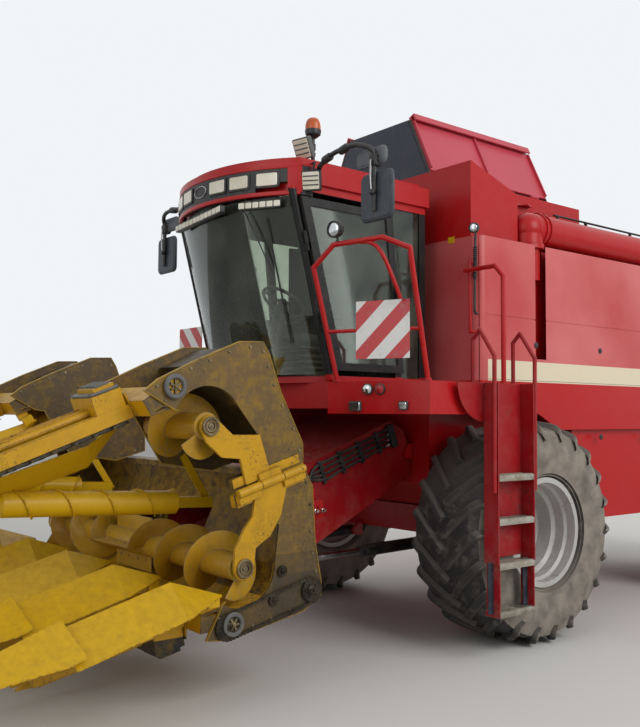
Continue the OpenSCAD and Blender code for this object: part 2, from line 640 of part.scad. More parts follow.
// Plan of the cab between posts at height z: straight sides and a bowed front
module cab_plan(x_post, inset) {
    r = (pow(cab_y, 2) + pow(screen_bulge, 2)) / (2 * screen_bulge);
    intersection() {
        translate([cab_rear + inset, -cab_y + inset])
            square([x_post + screen_bulge - cab_rear - inset, 2 * (cab_y - inset)]);
        translate([x_post + screen_bulge - r, 0]) circle(r = r - inset, $fn = 360);
    }
}
module cab_frame() color(red) at_axle() {
    // Floor pan and roof frame
    up(floor_z) linear_extrude(50) cab_plan(post_foot - 10, 6);
    up(eaves_z - 60) linear_extrude(60) difference() {
        cab_plan(post_x(eaves_z) - 60, 0);
        cab_plan(post_x(eaves_z) - 60, 70);
    }
    both_sides() {
        // Front post, door post and rear post
        front_post(post_r);
        side_prism([[rear_post_x - 70, floor_z + 50], [rear_post_x, floor_z + 50],
            [rear_post_x + 140, eaves_z - 60], [rear_post_x + 70, eaves_z - 60]],
            cab_y - 60, cab_y);
        span([cab_rear, cab_y - 70, floor_z + 50], [cab_rear + 70, cab_y, eaves_z - 60]);
    }
    // Lower knuckles of the door's hinges
    for (z = hinge_zs) door_hinge_place(z) {
        up(-60) cylinder(r = hinge_r, h = 60 - gap);
        span([-12, -30, -55], [12, 0, -5]);
    }
    // Rear wall with its window
    difference() {
        span([cab_rear, -cab_y + 70, floor_z + 50], [cab_rear + 40, cab_y - 70, eaves_z - 60]);
        span([cab_rear - 1, -600, 2750], [cab_rear + 41, 600, 3350]);
    }
}
// Round front post on the left, or its bore with a wider radius
module front_post(r) bar([post_x(floor_z + 20), cab_y - post_r, floor_z + 20],
    [post_x(eaves_z - 40), cab_y - post_r, eaves_z - 40], r);
module windscreen() color("#9fb4b6") at_axle() difference() {
    r = (pow(cab_y, 2) + pow(screen_bulge, 2)) / (2 * screen_bulge);
    z0 = floor_z + 60;
    z1 = brow_z - 5;
    intersection() {
        translate([post_foot + 2, 0, floor_z]) rotate([0, post_lean, 0])
            translate([screen_bulge - r, 0, -300]) difference() {
                cylinder(r = r, h = 2200, $fn = 360);
                up(-1) cylinder(r = r - glass_t, h = 2202, $fn = 360);
            }
        side_prism([[post_x(z0) + 20, z0], [post_x(z0) + 500, z0], [post_x(z1) + 500, z1],
            [post_x(z1) + 20, z1]], -cab_y + 12, cab_y - 12);
    }
    both_sides() front_post(post_r + gap);
}
module cab_windows() color("#6f8486") at_axle() {
    // Right side, both rear quarters, rear wall
    z0 = floor_z + 50 + gap;
    z1 = eaves_z - 60 - gap;
    side_prism([[rear_post_x + 10, z0], [post_x(z0) - 44, z0], [post_x(z1) - 50, z1],
        [rear_post_x + 146, z1]], -cab_y + 10, -cab_y + 10 + glass_t);
    both_sides() side_prism([[cab_rear + 76, z0], [rear_post_x - 78, z0], [rear_post_x + 62, z1],
        [cab_rear + 76, z1]], cab_y - 10 - glass_t, cab_y - 10);
    span([cab_rear + 16, -600 + gap, 2750 + gap], [cab_rear + 16 + glass_t, 600 - gap, 3350 - gap]);
}
door_y = cab_y + 6;
door_t = 34;
door_low = floor_z + 90;
door_high = brow_z - 15;
door_rear_foot = rear_post_x - 55;
door_rear_top = rear_post_x + 75;
door_glass_pts = [[door_rear_foot + 62, door_low + 60], [post_x(door_low) - 78, door_low + 60],
    [post_x(door_high) - 100, door_high - 60], [door_rear_top + 64, door_high - 60]];
hinge_zs = [2500, 3100];
hinge_r = 13;
hinge_lead = 12;
// Place on the door's leaning hinge line at height z
module door_hinge_place(z) translate([post_x(z) + hinge_lead, door_y + door_t / 2, z])
    rotate([0, post_lean, 0]) children();
module cab_door() color(black) at_axle() {
    difference() {
        side_prism([[door_rear_foot, door_low], [post_x(door_low) - 14, door_low],
            [post_x(door_high) - 14, door_high], [door_rear_top, door_high]], door_y, door_y + door_t);
        side_prism(door_glass_pts, door_y - 1, door_y + door_t + 1);
    }
    // Handle
    span([door_rear_foot + 76, door_y + door_t, 2700], [door_rear_foot + 104, door_y + door_t + 45, 2860]);
    // Upper knuckles of the hinges, on leaves ahead of the door's edge
    for (z = hinge_zs) door_hinge_place(z) {
        cylinder(r = hinge_r, h = 90);
        span([-60, -5, 5], [0, 5, 85]);
    }
}
module door_glass() color("#8ea3a5") at_axle()
    side_prism(door_glass_pts, door_y + 13, door_y + 13 + glass_t);
module roof_plan(inset) intersection() {
    translate([cab_rear - 20 + inset, -roof_y + inset])
        square([2000, 2 * (roof_y - inset)]);
    translate([roof_mid_x, 0]) circle(r = roof_front_r - inset, $fn = 360);
}
module cab_roof() color(red) at_axle() {
    up(eaves_z) linear_extrude(120) difference() {
        roof_plan(0);
        // Seat of the visor
        difference() {
            translate([1640, -roof_y - 1]) square([800, 2 * roof_y + 2]);
            translate([roof_mid_x, 0]) circle(r = roof_front_r - 62, $fn = 360);
        }
    }
    up(eaves_z + 120) linear_extrude(40) roof_plan(0);
    up(eaves_z + 160) linear_extrude(roof_z - eaves_z - 160) roof_plan(60);
}
module cab_visor() color(black) at_axle() difference() {
    up(brow_z) linear_extrude(eaves_z + 120 - brow_z) intersection() {
        difference() {
            translate([roof_mid_x, 0]) circle(r = roof_front_r - 4, $fn = 360);
            translate([roof_mid_x, 0]) circle(r = roof_front_r - 61, $fn = 360);
        }
        translate([1645, -roof_y + 4]) square([800, 2 * roof_y - 8]);
    }
    up(brow_z - 1) linear_extrude(eaves_z + 1.5 - brow_z)
        cab_plan(post_x(eaves_z) + 20, -6);
}
module seat() color(black) at_axle() translate([1150, 0, floor_z + 50]) {
    span([-170, -180, 0], [170, 180, 260]);
    span([-240, -250, 260], [260, 250, 390]);
    translate([-230, 0, 385]) rotate([0, -10, 0]) span([-60, -240, 5], [60, 240, 640]);
    translate([-330, 0, 1007.5]) rotate([0, -10, 0]) span([-45, -140, 10], [45, 140, 190]);
    both_sides() span([-180, 260, 530], [190, 320, 590]);
    both_sides() span([-180, 250, 300], [-130, 262, 590]);
}
wheel_tilt = 35;
module cab_controls() color(black) at_axle() {
    // Steering column and wheel
    translate([1560, 0, floor_z + 50]) cylinder(r = 70, h = 24);
    translate([1558, 0, floor_z + 62]) rotate([0, -12, 0]) cylinder(r = 45, h = 628);
    translate([1425, 0, floor_z + 690]) rotate([0, -wheel_tilt, 0]) {
        up(-30) cylinder(r = 40, h = 60);
        rotate_extrude() translate([195, 20]) circle(r = 15);
        for (a = [90, 210, 330]) rotate([0, 0, a]) span([0, -14, 12], [190, 14, 26]);
    }
    // Right-hand console and monitor
    span([900, -620, floor_z + 50], [1480, -360, floor_z + 560]);
    span([1400, -600, floor_z + 560], [1440, -560, floor_z + 900]);
    span([1385, -700, floor_z + 900], [1430, -440, floor_z + 1080]);
}

// Platform, rails and ladder
plat_y = 1660;
plat_low = 1820;
plat_t = 30;
plat_nose = 1640;
hoop_r = 19;
module platform() color(red) at_axle() {
    difference() {
        up(plat_low) linear_extrude(floor_z - plat_low) polygon([
            [body_front, cab_y + 40], [plat_nose, cab_y + 40], [plat_nose - 30, cab_y + 100],
            [1330, plat_y], [body_front, plat_y]]);
        up(plat_low - 1) linear_extrude(floor_z - plat_t - plat_low + 1) polygon([
            [body_front + 14, cab_y + 60], [plat_nose - 26, cab_y + 60], [plat_nose - 50, cab_y + 100],
            [1316, plat_y - 14], [body_front + 14, plat_y - 14]]);
    }
    // Cab bearer between the platform and the right side
    span([cab_rear - 20, -cab_y - 40, floor_z - 200], [plat_nose - 20, cab_y + 40, floor_z]);
    both_sides() span([core_front, 300, 1900], [cab_rear - 20, 420, 2040]);
}
// Front guard hoop: feet, shoulders and the bowed top
hoop_in = [1600, cab_y + 100, floor_z + 8];
hoop_out = [1322, plat_y - 30, floor_z + 8];
hoop_in_top = [1832, cab_y + 100, 2900];
hoop_out_top = [1522, plat_y - 10, 2990];
hoop_bow = [(hoop_in_top * 3 + hoop_out_top) / 4 + [30, 0, 130], (hoop_in_top + 3 * hoop_out_top) / 4 + [20, 0, 110]];
// Point of the hoop's inner (k = 0) or outer (k = 1) post at height z
function hoop_post(k, z) = let (p = k == 0 ? hoop_in : hoop_out, q = k == 0 ? hoop_in_top : hoop_out_top)
    p + (q - p) * (z - p.z) / (q.z - p.z);
mid_rail_z = 2430;
mid_rail_r = 14;
module platform_rails() color(red) at_axle() {
    // Front guard hoop on its feet, with its mid rail
    pipe([hoop_in, hoop_in_top, hoop_bow[0], hoop_bow[1], hoop_out_top, hoop_out], hoop_r);
    for (p = [hoop_in, hoop_out]) translate([p.x, p.y, floor_z]) cylinder(r = 28, h = 16);
    bar(hoop_post(0, mid_rail_z), hoop_post(1, mid_rail_z), mid_rail_r);
    // Grab rail from the rear of the platform to the body's front panel
    translate([480, plat_y - 40, floor_z]) cylinder(r = 28, h = 16);
    pipe([[480, plat_y - 40, floor_z + 8], [480, plat_y - 40, 2900], [480, plat_y - 120, 2990],
        [480, 1230, 2990], [body_front + 4, 1230, 2990]], hoop_r);
    span([body_front, 1200, 2960], [body_front + 8, 1260, 3020]);
}
// Striped width boards: on the hoop's mid rail, and on an arm of the cab bearer
board_w = 423;
board_y = 1372;
board_t = 4;
module warning_boards() color("#d8d2cc") at_axle() {
    a = hoop_post(0, mid_rail_z);
    b = hoop_post(1, mid_rail_z);
    p = a + (b - a) * (board_y - a.y) / (b.y - a.y);
    translate(p) rotate([0, 0, atan2(a.x - b.x, b.y - a.y)]) translate([mid_rail_r + gap, -board_w / 2, -board_w / 2])
        cube([board_t, board_w, board_w]);
    translate([p.x, -board_y - board_w / 2, p.z - board_w / 2]) cube([board_t, board_w, board_w]);
    span([p.x - 30, -board_y - 15, floor_z - 130], [p.x, -board_y + 15, p.z + 150]);
    span([p.x - 30, -board_y - 15, floor_z - 160], [p.x, -cab_y - 40, floor_z - 130]);
}
step_zs = [385, 730, 1050, 1370];
ladder_x0 = 400;
ladder_x1 = 800;
ladder_y0 = 1705;
ladder_y1 = 1838;
module ladder() color(red) at_axle() {
    // Front and rear stringers, and the riser plate between them
    side_prism([[ladder_x1, 730], [ladder_x1 + 12, 730], [ladder_x1 + 12, floor_z - 5],
        [ladder_x1, floor_z - 5]], ladder_y0, ladder_y1);
    side_prism([[ladder_x0 - 12, 730], [ladder_x0, 730], [ladder_x0, floor_z - 5],
        [ladder_x0 - 12, floor_z - 5]], ladder_y0, ladder_y1);
    span([ladder_x0, ladder_y0, 760], [ladder_x1, ladder_y0 + 10, floor_z - 5]);
    // Steps
    for (z = step_zs) span([ladder_x0, ladder_y0 + (z > 500 ? 10 : 0), z - 35], [ladder_x1, ladder_y1, z]);
    // Rubber straps of the lowest step, and a gusset at the top
    for (x = [ladder_x0, ladder_x1 - 10]) span([x, ladder_y0 + 10, 385], [x + 10, ladder_y1, 700]);
    translate([ladder_x1 + 10, 0, floor_z - 5]) intersection() {
        drum(0, 0, ladder_y0, ladder_y0 + 6, 290);
        span([0, 0, -300], [300, ladder_y1, 0]);
    }
    // Hanger on the platform's edge
    span([ladder_x0 - 12, plat_y, 1840], [ladder_x1 + 12, ladder_y0, floor_z - 5]);
    // Handrails
    for (x = [ladder_x1 + 34, ladder_x0 - 34])
        pipe([[x, plat_y - 40, floor_z], [x, plat_y - 40, 2380], [x, plat_y + 30, 2450],
            [x, ladder_y1 - 10, 2250], [x, ladder_y1 - 16, 1250]], 16);
    for (x = [ladder_x1 + 12, ladder_x0 - 34]) for (z = [1270, 1900])
        span([x, ladder_y1 - 40, z], [x + 22, ladder_y1 - 10, z + 30]);
}
mirror_y = 1600;
module mirrors() color(black) at_axle() both_sides() {
    span([1725, roof_y, 3612], [1795, roof_y + 8, 3672]);
    pipe([[1760, roof_y + 4, 3640], [1760, roof_y + 30, 3645], [1780, roof_y + 80, 3690],
        [1800, mirror_y - 90, 3670], [1741, mirror_y, 3620], [1741, mirror_y, 3240]], 15);
    // Main mirror, and a wide-angle one above it
    for (m = [[3360, 135, 170], [3628, 105, 62]])
        translate([1690, mirror_y, m[0]]) rotate([90, 0, 90]) linear_extrude(40) {
            square([2 * m[1], 2 * m[2] - 80], center = true);
            square([2 * m[1] - 80, 2 * m[2]], center = true);
            for (y = [-1, 1], z = [-1, 1]) translate([y * (m[1] - 40), z * (m[2] - 40)]) circle(r = 40);
        }
}
// Lamps on the roof, on the platform's nose and on the hoop
module work_lamps() color("#c9c9c0") at_axle() {
    // Beacon on its stalk
    translate([1690, 750, roof_z]) cylinder(r = 12, h = 190);
    translate([1690, 750, roof_z + 190]) cylinder(r = 45, h = 30);
    translate([1690, 750, roof_z + 220]) cylinder(r1 = 50, r2 = 38, h = 90);
    // Round lamp on the hoop's top
    k = 0.08;
    p = hoop_bow[0] * (1 - k) + hoop_bow[1] * k + [0, 0, hoop_r + 4 * gap];
    translate(p) cylinder(r = 10, h = 30);
    translate(p + [-28, 0, 84]) rotate([0, 90, 10]) cylinder(r = 62, h = 60);
    // Lamps on the slanting fascia: [distance from its inner end, height, half width, half height]
    for (l = [[230, 1965, 30, 30], [380, 1965, 30, 30], [170, 1875, 45, 32], [560, 1880, 30, 26]])
        translate([plat_nose - 30, cab_y + 100, l[1]])
            rotate([0, 0, atan2(plat_nose - 30 - 1330, plat_y - cab_y - 100)])
                span([gap, l[0] - l[2], -l[3]], [40, l[0] + l[2], l[3]]);
}

// Feeder house
neck_front = 2215;
neck_y = 560;
pivot_x = 490;
pivot_z = 1500;
pivot_r = 30;
throat_x = 430;
pin_r = 25;
module feeder_house() color(red) at_axle() {
    difference() {
        side_prism([[throat_x + 20, 1290], [throat_x + 20, pivot_z], [throat_x + 110, 1690], [700, 1760],
            [neck_front, 1180], [neck_front, 560], [2000, 540]], -neck_y, neck_y);
        side_prism([[throat_x + 19, 1330], [throat_x + 19, 1620], [throat_x + 120, 1650], [710, 1720],
            [neck_front + 1, 1140], [neck_front + 1, 620], [2020, 600]], -neck_y + 40, neck_y - 40);
        drum(pivot_x, pivot_z, -neck_y - 1, neck_y + 1, pivot_r + run_fit);
    }
    // Conveyor floor inside the neck
    side_prism([[640, 1380], [640, 1420], [2150, 800], [2150, 760]], -neck_y + 40, neck_y - 40);
    // Side gearbox and the front drive shaft's cover
    span([1780, neck_y, 700], [2100, neck_y + 130, 1040]);
    // Lugs and pins of the lift cylinders
    both_sides() {
        side_prism([[cyl_eye.x - 90, 810], [cyl_eye.x - 35, cyl_eye.z - 25], [cyl_eye.x, cyl_eye.z - 38],
            [cyl_eye.x + 35, cyl_eye.z - 25], [cyl_eye.x + 150, 740]], cyl_y - 20, cyl_y + 20);
        drum(cyl_eye.x, cyl_eye.z, cyl_y + 20, cyl_y + 96, eye_pin_r);
    }
}
// Lift cylinders between the front axle and the feeder house
cyl_foot = [210, 0, 700];
cyl_eye = [1580, 0, 668];
cyl_y = 440;
cyl_mid = cyl_y + 60;
cyl_dir = (cyl_eye - cyl_foot) / norm(cyl_eye - cyl_foot);
cyl_len = norm(cyl_eye - cyl_foot);
rod_r = 28;
eye_pin_r = 15;
module lift_barrels() color(black) at_axle() both_sides() {
    f = cyl_foot + [0, cyl_mid, 0];
    difference() {
        union() {
            bar(f + cyl_dir * 40, f + cyl_dir * 760, 50);
            drum(cyl_foot.x, cyl_foot.z, cyl_mid - 32, cyl_mid + 32, 45);
        }
        bar(f + cyl_dir * 100, f + cyl_dir * 761, rod_r + run_fit);
        drum(cyl_foot.x, cyl_foot.z, cyl_mid - 33, cyl_mid + 33, pin_r);
    }
}
module lift_rods() color(silver) at_axle() both_sides() {
    f = cyl_foot + [0, cyl_mid, 0];
    difference() {
        union() {
            bar(f + cyl_dir * 400, f + cyl_dir * (cyl_len - 30), rod_r);
            drum(cyl_eye.x, cyl_eye.z, cyl_mid - 32, cyl_mid + 32, 42);
        }
        drum(cyl_eye.x, cyl_eye.z, cyl_mid - 33, cyl_mid + 33, pin_r);
    }
}

// Header: outlines are drawn for the lowered, unfolded position. A wing is the same section
// as the middle, turned half a turn about the sloping hinge line at the middle's end.
half_span = row_pitch * centre_rows / 2;
header_back = 2225;
header_top = 1455;
trough_t = 12;
plate_t = 14;
arm_t = 20;
// From the hinge line to the bearing arms, then to the end plates
arm_gap = 20;
plate_gap = arm_gap + arm_t;
shaft_r = 40;
tube_low = 500;
tube_top = 600;
tube_back = 2900;
row_x = 3060;
hinge_dir = [cos(hinge_slope), 0, -sin(hinge_slope)];
knuckle_r = 27;
fold_pin_r = 14;
// Knuckles along the hinge line, [from, to]: two on the middle, one on the wing
mid_knuckles = [[-600, -425], [-245, -70]];
wing_knuckle = [-420, -250];
// Place on the left hinge line, with x along it
module hinge_place() translate([hinge_x, half_span, hinge_z]) rotate([0, hinge_slope, 0]) children();
// Turns a working wing at y > half_span over onto the middle
module folded() hinge_place() rotate([180, 0, 0]) rotate([0, -hinge_slope, 0])
    translate([-hinge_x, -half_span, -hinge_z]) children();
// Rod along the hinge line between two of its stations
module hinge_rod(k, r) translate([k[0], 0, 0]) rotate([0, 90, 0]) cylinder(r = r, h = k[1] - k[0]);

// End plate in side view: rear edge, belly, nose and hinge edge
end_pts = [[2300, header_top], [2232, 1343], [2205, 975], [2152, 708], [2152, 626], [2305, 537],
    [2640, 478], [2915, 443], [3025, 455], [2915, 655], [2860, 700], [2860, 1110], [2560, 1375]];
module end_plate(y0, y1) side_prism(end_pts, y0, y1);
// The crop side of an inner end plate is open above the trough
module open_plate(y0, y1) difference() {
    end_plate(y0, y1);
    drum(auger_x, auger_z, y0 - 1, y1 + 1, trough_r);
    side_prism([[auger_x - trough_r, auger_z], [3100, auger_z - 160], [3100, header_top],
        [2600, 1400], [2500, 1104]], y0 - 1, y1 + 1);
}
// Bearing arms at the hinge, from their knuckles to the auger's shaft
mid_arm = [[2662, 1335], [2440, 1400], [2497, 1174], [2578, 1047], [2689, 979], [2700, 861],
    [2850, 861], [2845, 980], [2777, 1102], [2716, 1175], [2701, 1278]];
wing_arm = [[2748, 1310], [2560, 1365], [2495, 1104], [2550, 1070], [2666, 992], [2707, 861],
    [2841, 861], [2849, 930], [2804, 1070], [2700, 1150]];
module bearing_arm(pts, y0, y1, boss_r) difference() {
    union() {
        side_prism(pts, y0, y1);
        drum(auger_x, auger_z, y0, y1, boss_r);
        drum(auger_x, auger_z, y0 - 8, y1 + 8, boss_r - 14);
    }
    drum(auger_x, auger_z, y0 - 9, y1 + 9, shaft_r + run_fit);
}
// Height of the top of the trough's front lip, which falls to the row units
function lip_z(x) = tube_top + 8 + 0.227 * (row_x - x);
lip_x = auger_x + 110;
// Trough: back wall, curved floor under the auger, and the lip
module trough(y0, y1) {
    difference() {
        drum(auger_x, auger_z, y0, y1, trough_r + trough_t);
        drum(auger_x, auger_z, y0 - 1, y1 + 1, trough_r);
        span([auger_x - trough_r - 20, y0 - 1, auger_z], [auger_x + trough_r + 20, y1 + 1, auger_z + 400]);
        span([auger_x + 120, y0 - 1, auger_z - 400], [auger_x + trough_r + 20, y1 + 1, auger_z + 1]);
    }
    side_prism([[header_back, auger_z - 216], [header_back + 14, auger_z - 216],
        [2360, 1400], [2346, 1400]], y0, y1);
    side_prism([[auger_x - trough_r - trough_t, auger_z - 2], [auger_x - trough_r, auger_z - 2],
        [2330, 1300], [2318, 1300]], y0, y1);
    side_prism([[lip_x, lip_z(lip_x) - 13], [row_x - 20, tube_top - 2],
        [row_x, tube_top - 2], [row_x, lip_z(row_x)], [lip_x, lip_z(lip_x)]], y0, y1);
    // Cross tubes: the front one carries the row units, the rear one stiffens the wall
    span([tube_back, y0, tube_low], [row_x, y1, tube_top]);
    side_prism([[header_back + 10, 600], [2540, 560], [2540, 615], [header_back + 10, 665]], y0, y1);
    side_prism([[2310, 1385], [2390, 1385], [2390, 1432], [2310, 1445]], y0, y1);
}
// Wheels of the side chain: [x, z, radius], the first and the second joined by the chain
side_wheels = [[2246, 668, 74], [2884, 520, 70], [2541, 640, 34], [2477, 814, 34]];
side_wheel_t = 12;
chain_t = 9;
module side_drive(y) {
    for (w = side_wheels) {
        drum(w.x, w.y, y + 2, y + side_wheel_t - 2, w[2]);
        drum(w.x, w.y, y - 6, y + side_wheel_t + 8, w[2] * 0.45);
    }
    a = side_wheels[0];
    b = side_wheels[1];
    v = [b.x - a.x, b.y - a.y];
    translate([a.x, y, a.y]) rotate([0, -atan2(v.y, v.x), 0]) rotate([-90, 0, 0])
        linear_extrude(side_wheel_t) difference() {
            belt(norm(v), a[2] + chain_t, b[2] + chain_t);
            belt(norm(v), a[2] - 3, b[2] - 3);
        }
}
// Outline of a chain round two wheels, the second one l ahead of the first
module belt(l, r1, r2) {
    circle(r = r1);
    translate([l, 0]) circle(r = r2);
    polygon([[0, r1], [l, r2], [l, -r2], [0, -r1]]);
}
module header_frame() color(yellow) at_axle() {
    plate_y = half_span - plate_gap;
    difference() {
        trough(-plate_y + plate_t, plate_y - plate_t);
        // Throat to the feeder house
        span([header_back - 60, -neck_y + 60, 660], [auger_x - 150, neck_y - 60, 1130]);
    }
    both_sides() {
        open_plate(plate_y - plate_t, plate_y);
        bearing_arm(mid_arm, plate_y, plate_y + arm_t, 75);
        side_drive(plate_y + 0.5 * arm_t - 8);
        // Hub of the coupling to the wing's drive
        drum(2849, 533, plate_y - 2, plate_y + 12, 60);
        hinge_place() {
            // Beam under the hinge line, and its two outer knuckles
            span([mid_knuckles[0][0], -110, -92], [mid_knuckles[1][1], -34, -34]);
            for (k = mid_knuckles) difference() {
                union() {
                    hinge_rod(k, knuckle_r);
                    span([k[0], -100, -70], [k[1], 0, -12]);
                }
                hinge_rod([k[0] - 1, k[1] + 1], fold_pin_r + run_fit);
            }
        }
    }
    // Mounting face for the feeder house
    both_sides() span([neck_front, neck_y - 60, 600], [header_back + 20, neck_y - 1, 1130]);
}
// Auger flight: a helical ribbon from y0 to y1, seated on the auger's tube
module flight(y0, y1, hand) translate([0, y0, 0]) rotate([-90, 0, 0])
    linear_extrude(y1 - y0, twist = hand * 360 * (y1 - y0) / flight_pitch,
        slices = round(flight_slices * (y1 - y0) / flight_pitch), segments = 0)
        polygon([for (p = [[auger_tube_r - 4, -5], [flight_r, -3.5], [flight_r, 3.5], [auger_tube_r - 4, 5]])
            p.x * [cos(p.y), sin(p.y)]]);
flight_slices = 24;
auger_tube_r = 85;
feed_y = 300;
// Auger: left-hand and right-hand flights meet at four paddles in front of the feeder house
module header_auger() color(yellow) at_axle() {
    drum(auger_x, auger_z, -half_span + plate_gap + plate_t + 8, half_span - plate_gap - plate_t - 8,
        auger_tube_r);
    drum(auger_x, auger_z, -half_span + arm_gap - 6, half_span - arm_gap + 6, shaft_r);
    translate([auger_x, 0, auger_z]) {
        flight(feed_y, half_span - plate_gap - plate_t - 10, 1);
        mirror([0, 1, 0]) flight(feed_y, half_span - plate_gap - plate_t - 10, 1);
        for (a = [0 : 90 : 270]) rotate([0, a, 0])
            span([auger_tube_r - 4, -feed_y + 20, -4], [flight_r - 10, feed_y - 20, 4]);
    }
}

// Hoods over the gaps between rows: folded sheets whose ridge falls to the snout and to a stern
hood_drop = 165;
hood_t = 5;
ridge_x = 3300;
ridge_front = 3950;
ridge_slope = 14.8;
stern_x = 2950;
stern_slope = 18;
shelf_z = 660;
snout_back = 3985;
snout_z = 704;
snout_slope = 19.5;
// Chevron sheet of length l along x from a ridge point, falling by slope degrees
module ridge_sheet(l, w, drop) front_prism([[-w, -drop], [0, 0], [w, -drop], [w, -drop - hood_t * 1.3],
    [0, -hood_t * 1.3], [-w, -drop - hood_t * 1.3]], 0, l);
module hood(y, post_in = 0) translate([0, y, 0]) {
    intersection() {
        translate([ridge_x, 0, ridge_z]) rotate([0, ridge_slope, 0])
            translate([-60, 0, 0]) ridge_sheet(800, hood_w, hood_drop);
        span([ridge_x, -hood_w - 1, 0], [ridge_front, hood_w + 1, 2000]);
    }
    intersection() {
        translate([ridge_x, 0, ridge_z]) rotate([0, -stern_slope, 0])
            translate([-420, 0, 0]) ridge_sheet(480, hood_w, hood_drop);
        linear_extrude(2000) polygon([[stern_x, -6], [ridge_x + 0.2, -hood_w], [ridge_x + 0.2, hood_w],
            [stern_x, 6]]);
    }
    // Bracket on the trough's lip: foot inwards of the ridge by post_in, shelf and ridge post
    x0 = stern_x + 20;
    x1 = row_x - 10;
    side_prism([[x0, lip_z(x0) + 2 * gap], [x1, lip_z(x1) + 2 * gap], [x1, shelf_z], [x0, shelf_z]],
        -post_in - 14, -post_in + 14);
    span([x0, -post_in - 14, shelf_z - 1], [x1, 14, shelf_z + 14]);
    side_prism(concat([[x0, shelf_z + 13], [x1, shelf_z + 13]], [for (x = [x1, x0])
        [x, ridge_z - (ridge_x - x) * tan(stern_slope) - 14 * hood_drop / hood_w - 2]]), -14, 14);
}
module snout(y) translate([0, y, 0]) {
    difference() {
        intersection() {
            translate([snout_back, 0, snout_z]) rotate([0, snout_slope, 0])
                translate([-40, 0, 0]) ridge_sheet(1100, hood_w, hood_drop);
            linear_extrude(2000) polygon([[snout_back - 90, -hood_w], [snout_back, -hood_w + 2],
                [snout_back + 340, -150], [front_reach - 30, -14], [front_reach - 30, 14],
                [snout_back + 340, 150], [snout_back, hood_w - 2], [snout_back - 90, hood_w]]);
        }
        span([snout_back - 200, -300, snout_z + 40], [snout_back, 300, 2000]);
    }
    // Nose, and the keel that carries the snout on the hood
    translate([front_reach - nose_r, 0, nose_z]) sphere(r = nose_r);
    side_prism([[3700, 640], [3700, 724], [3945, 659], [3990, 690], [4880, 375], [4880, 330]], -12, 12);
}
module header_hoods() color(yellow) at_axle() {
    for (i = [-centre_rows / 2 + 1 : centre_rows / 2 - 1]) hood(i * row_pitch);
    both_sides() hood(half_span, 80);
    for (i = [-centre_rows / 2 : centre_rows / 2]) snout(i * row_pitch);
}

// Row unit, drawn along its sloping deck from the cross tube: x forward, z off the deck
deck_back_z = 596;
deck_len = 1000;
slot_y = 38;
deck_y = 150;
roll_r = 36;
module deck_place(y) translate([row_x, y, deck_back_z]) rotate([0, deck_slope, 0]) children();
module row_unit(y) {
    deck_place(y) {
        for (s = [-1, 1]) {
            // Deck plate with its sloping tip, and the box beam under it
            linear_extrude(8) polygon([[20, s * slot_y], [deck_len, s * slot_y],
                [deck_len + 90, s * (deck_y - 20)], [deck_len, s * deck_y], [20, s * deck_y]]);
            span([20, s > 0 ? deck_y - 62 : -deck_y, -78], [deck_len - 20, s > 0 ? deck_y : -deck_y + 62, 1]);
            // Stalk roll with its ribs and pointed nose
            translate([235, s * (roll_r + 2), -92]) rotate([0, 90, 0]) {
                cylinder(r = roll_r - 10, h = deck_len - 300);
                up(deck_len - 300) cylinder(r1 = roll_r - 10, r2 = 6, h = 110);
                for (a = [0, 90]) rotate([0, 0, a])
                    span([-roll_r, -4, 20], [roll_r, 4, deck_len - 320]);
            }
        }
        // Gearbox under the deck's rear end
        span([45, -deck_y + 1, -190], [240, deck_y - 1, -10]);
        span([60, -deck_y + 40, -228], [200, deck_y - 40, -189]);
    }
    // Mounting plate on the cross tube
    span([row_x + gap, y - deck_y - 10, tube_low - 60],
         [row_x + 12, y + deck_y + 10, tube_top]);
}
// Gathering chains: a loop with fingers each side of the slot
chain_y = 96;
chain_wheel_r = 44;
chain_x0 = 90;
chain_x1 = 985;
finger_pitch = 128;
module gathering_chain(side) deck_place(0) translate([chain_x0, side * chain_y, 8 + gap]) {
    l = chain_x1 - chain_x0;
    for (x = [0, l]) translate([x, 0, 0]) cylinder(r = chain_wheel_r - 12, h = 24);
    up(6) linear_extrude(14) {
        difference() {
            belt(l, chain_wheel_r, chain_wheel_r);
            belt(l, chain_wheel_r - 12 + gap, chain_wheel_r - 12 + gap);
        }
        for (i = [0 : floor(l / finger_pitch)]) for (s = [-1, 1])
            translate([finger_pitch * (i + (s > 0 ? 0.1 : 0.4)), 0])
                polygon([[0, s * (chain_wheel_r - 4)], [14, s * (chain_wheel_r + 30)],
                    [30, s * (chain_wheel_r + 30)], [42, s * (chain_wheel_r - 4)]]);
    }
}
// Middles of the fixed rows
centre_row_ys = [for (i = [0 : centre_rows - 1]) (i - (centre_rows - 1) / 2) * row_pitch];
module row_units() color(yellow) at_axle() for (y = centre_row_ys) row_unit(y);
module gathering_chains() color(dark) at_axle()
    for (y = centre_row_ys) translate([0, y, 0]) for (s = [-1, 1]) gathering_chain(s);
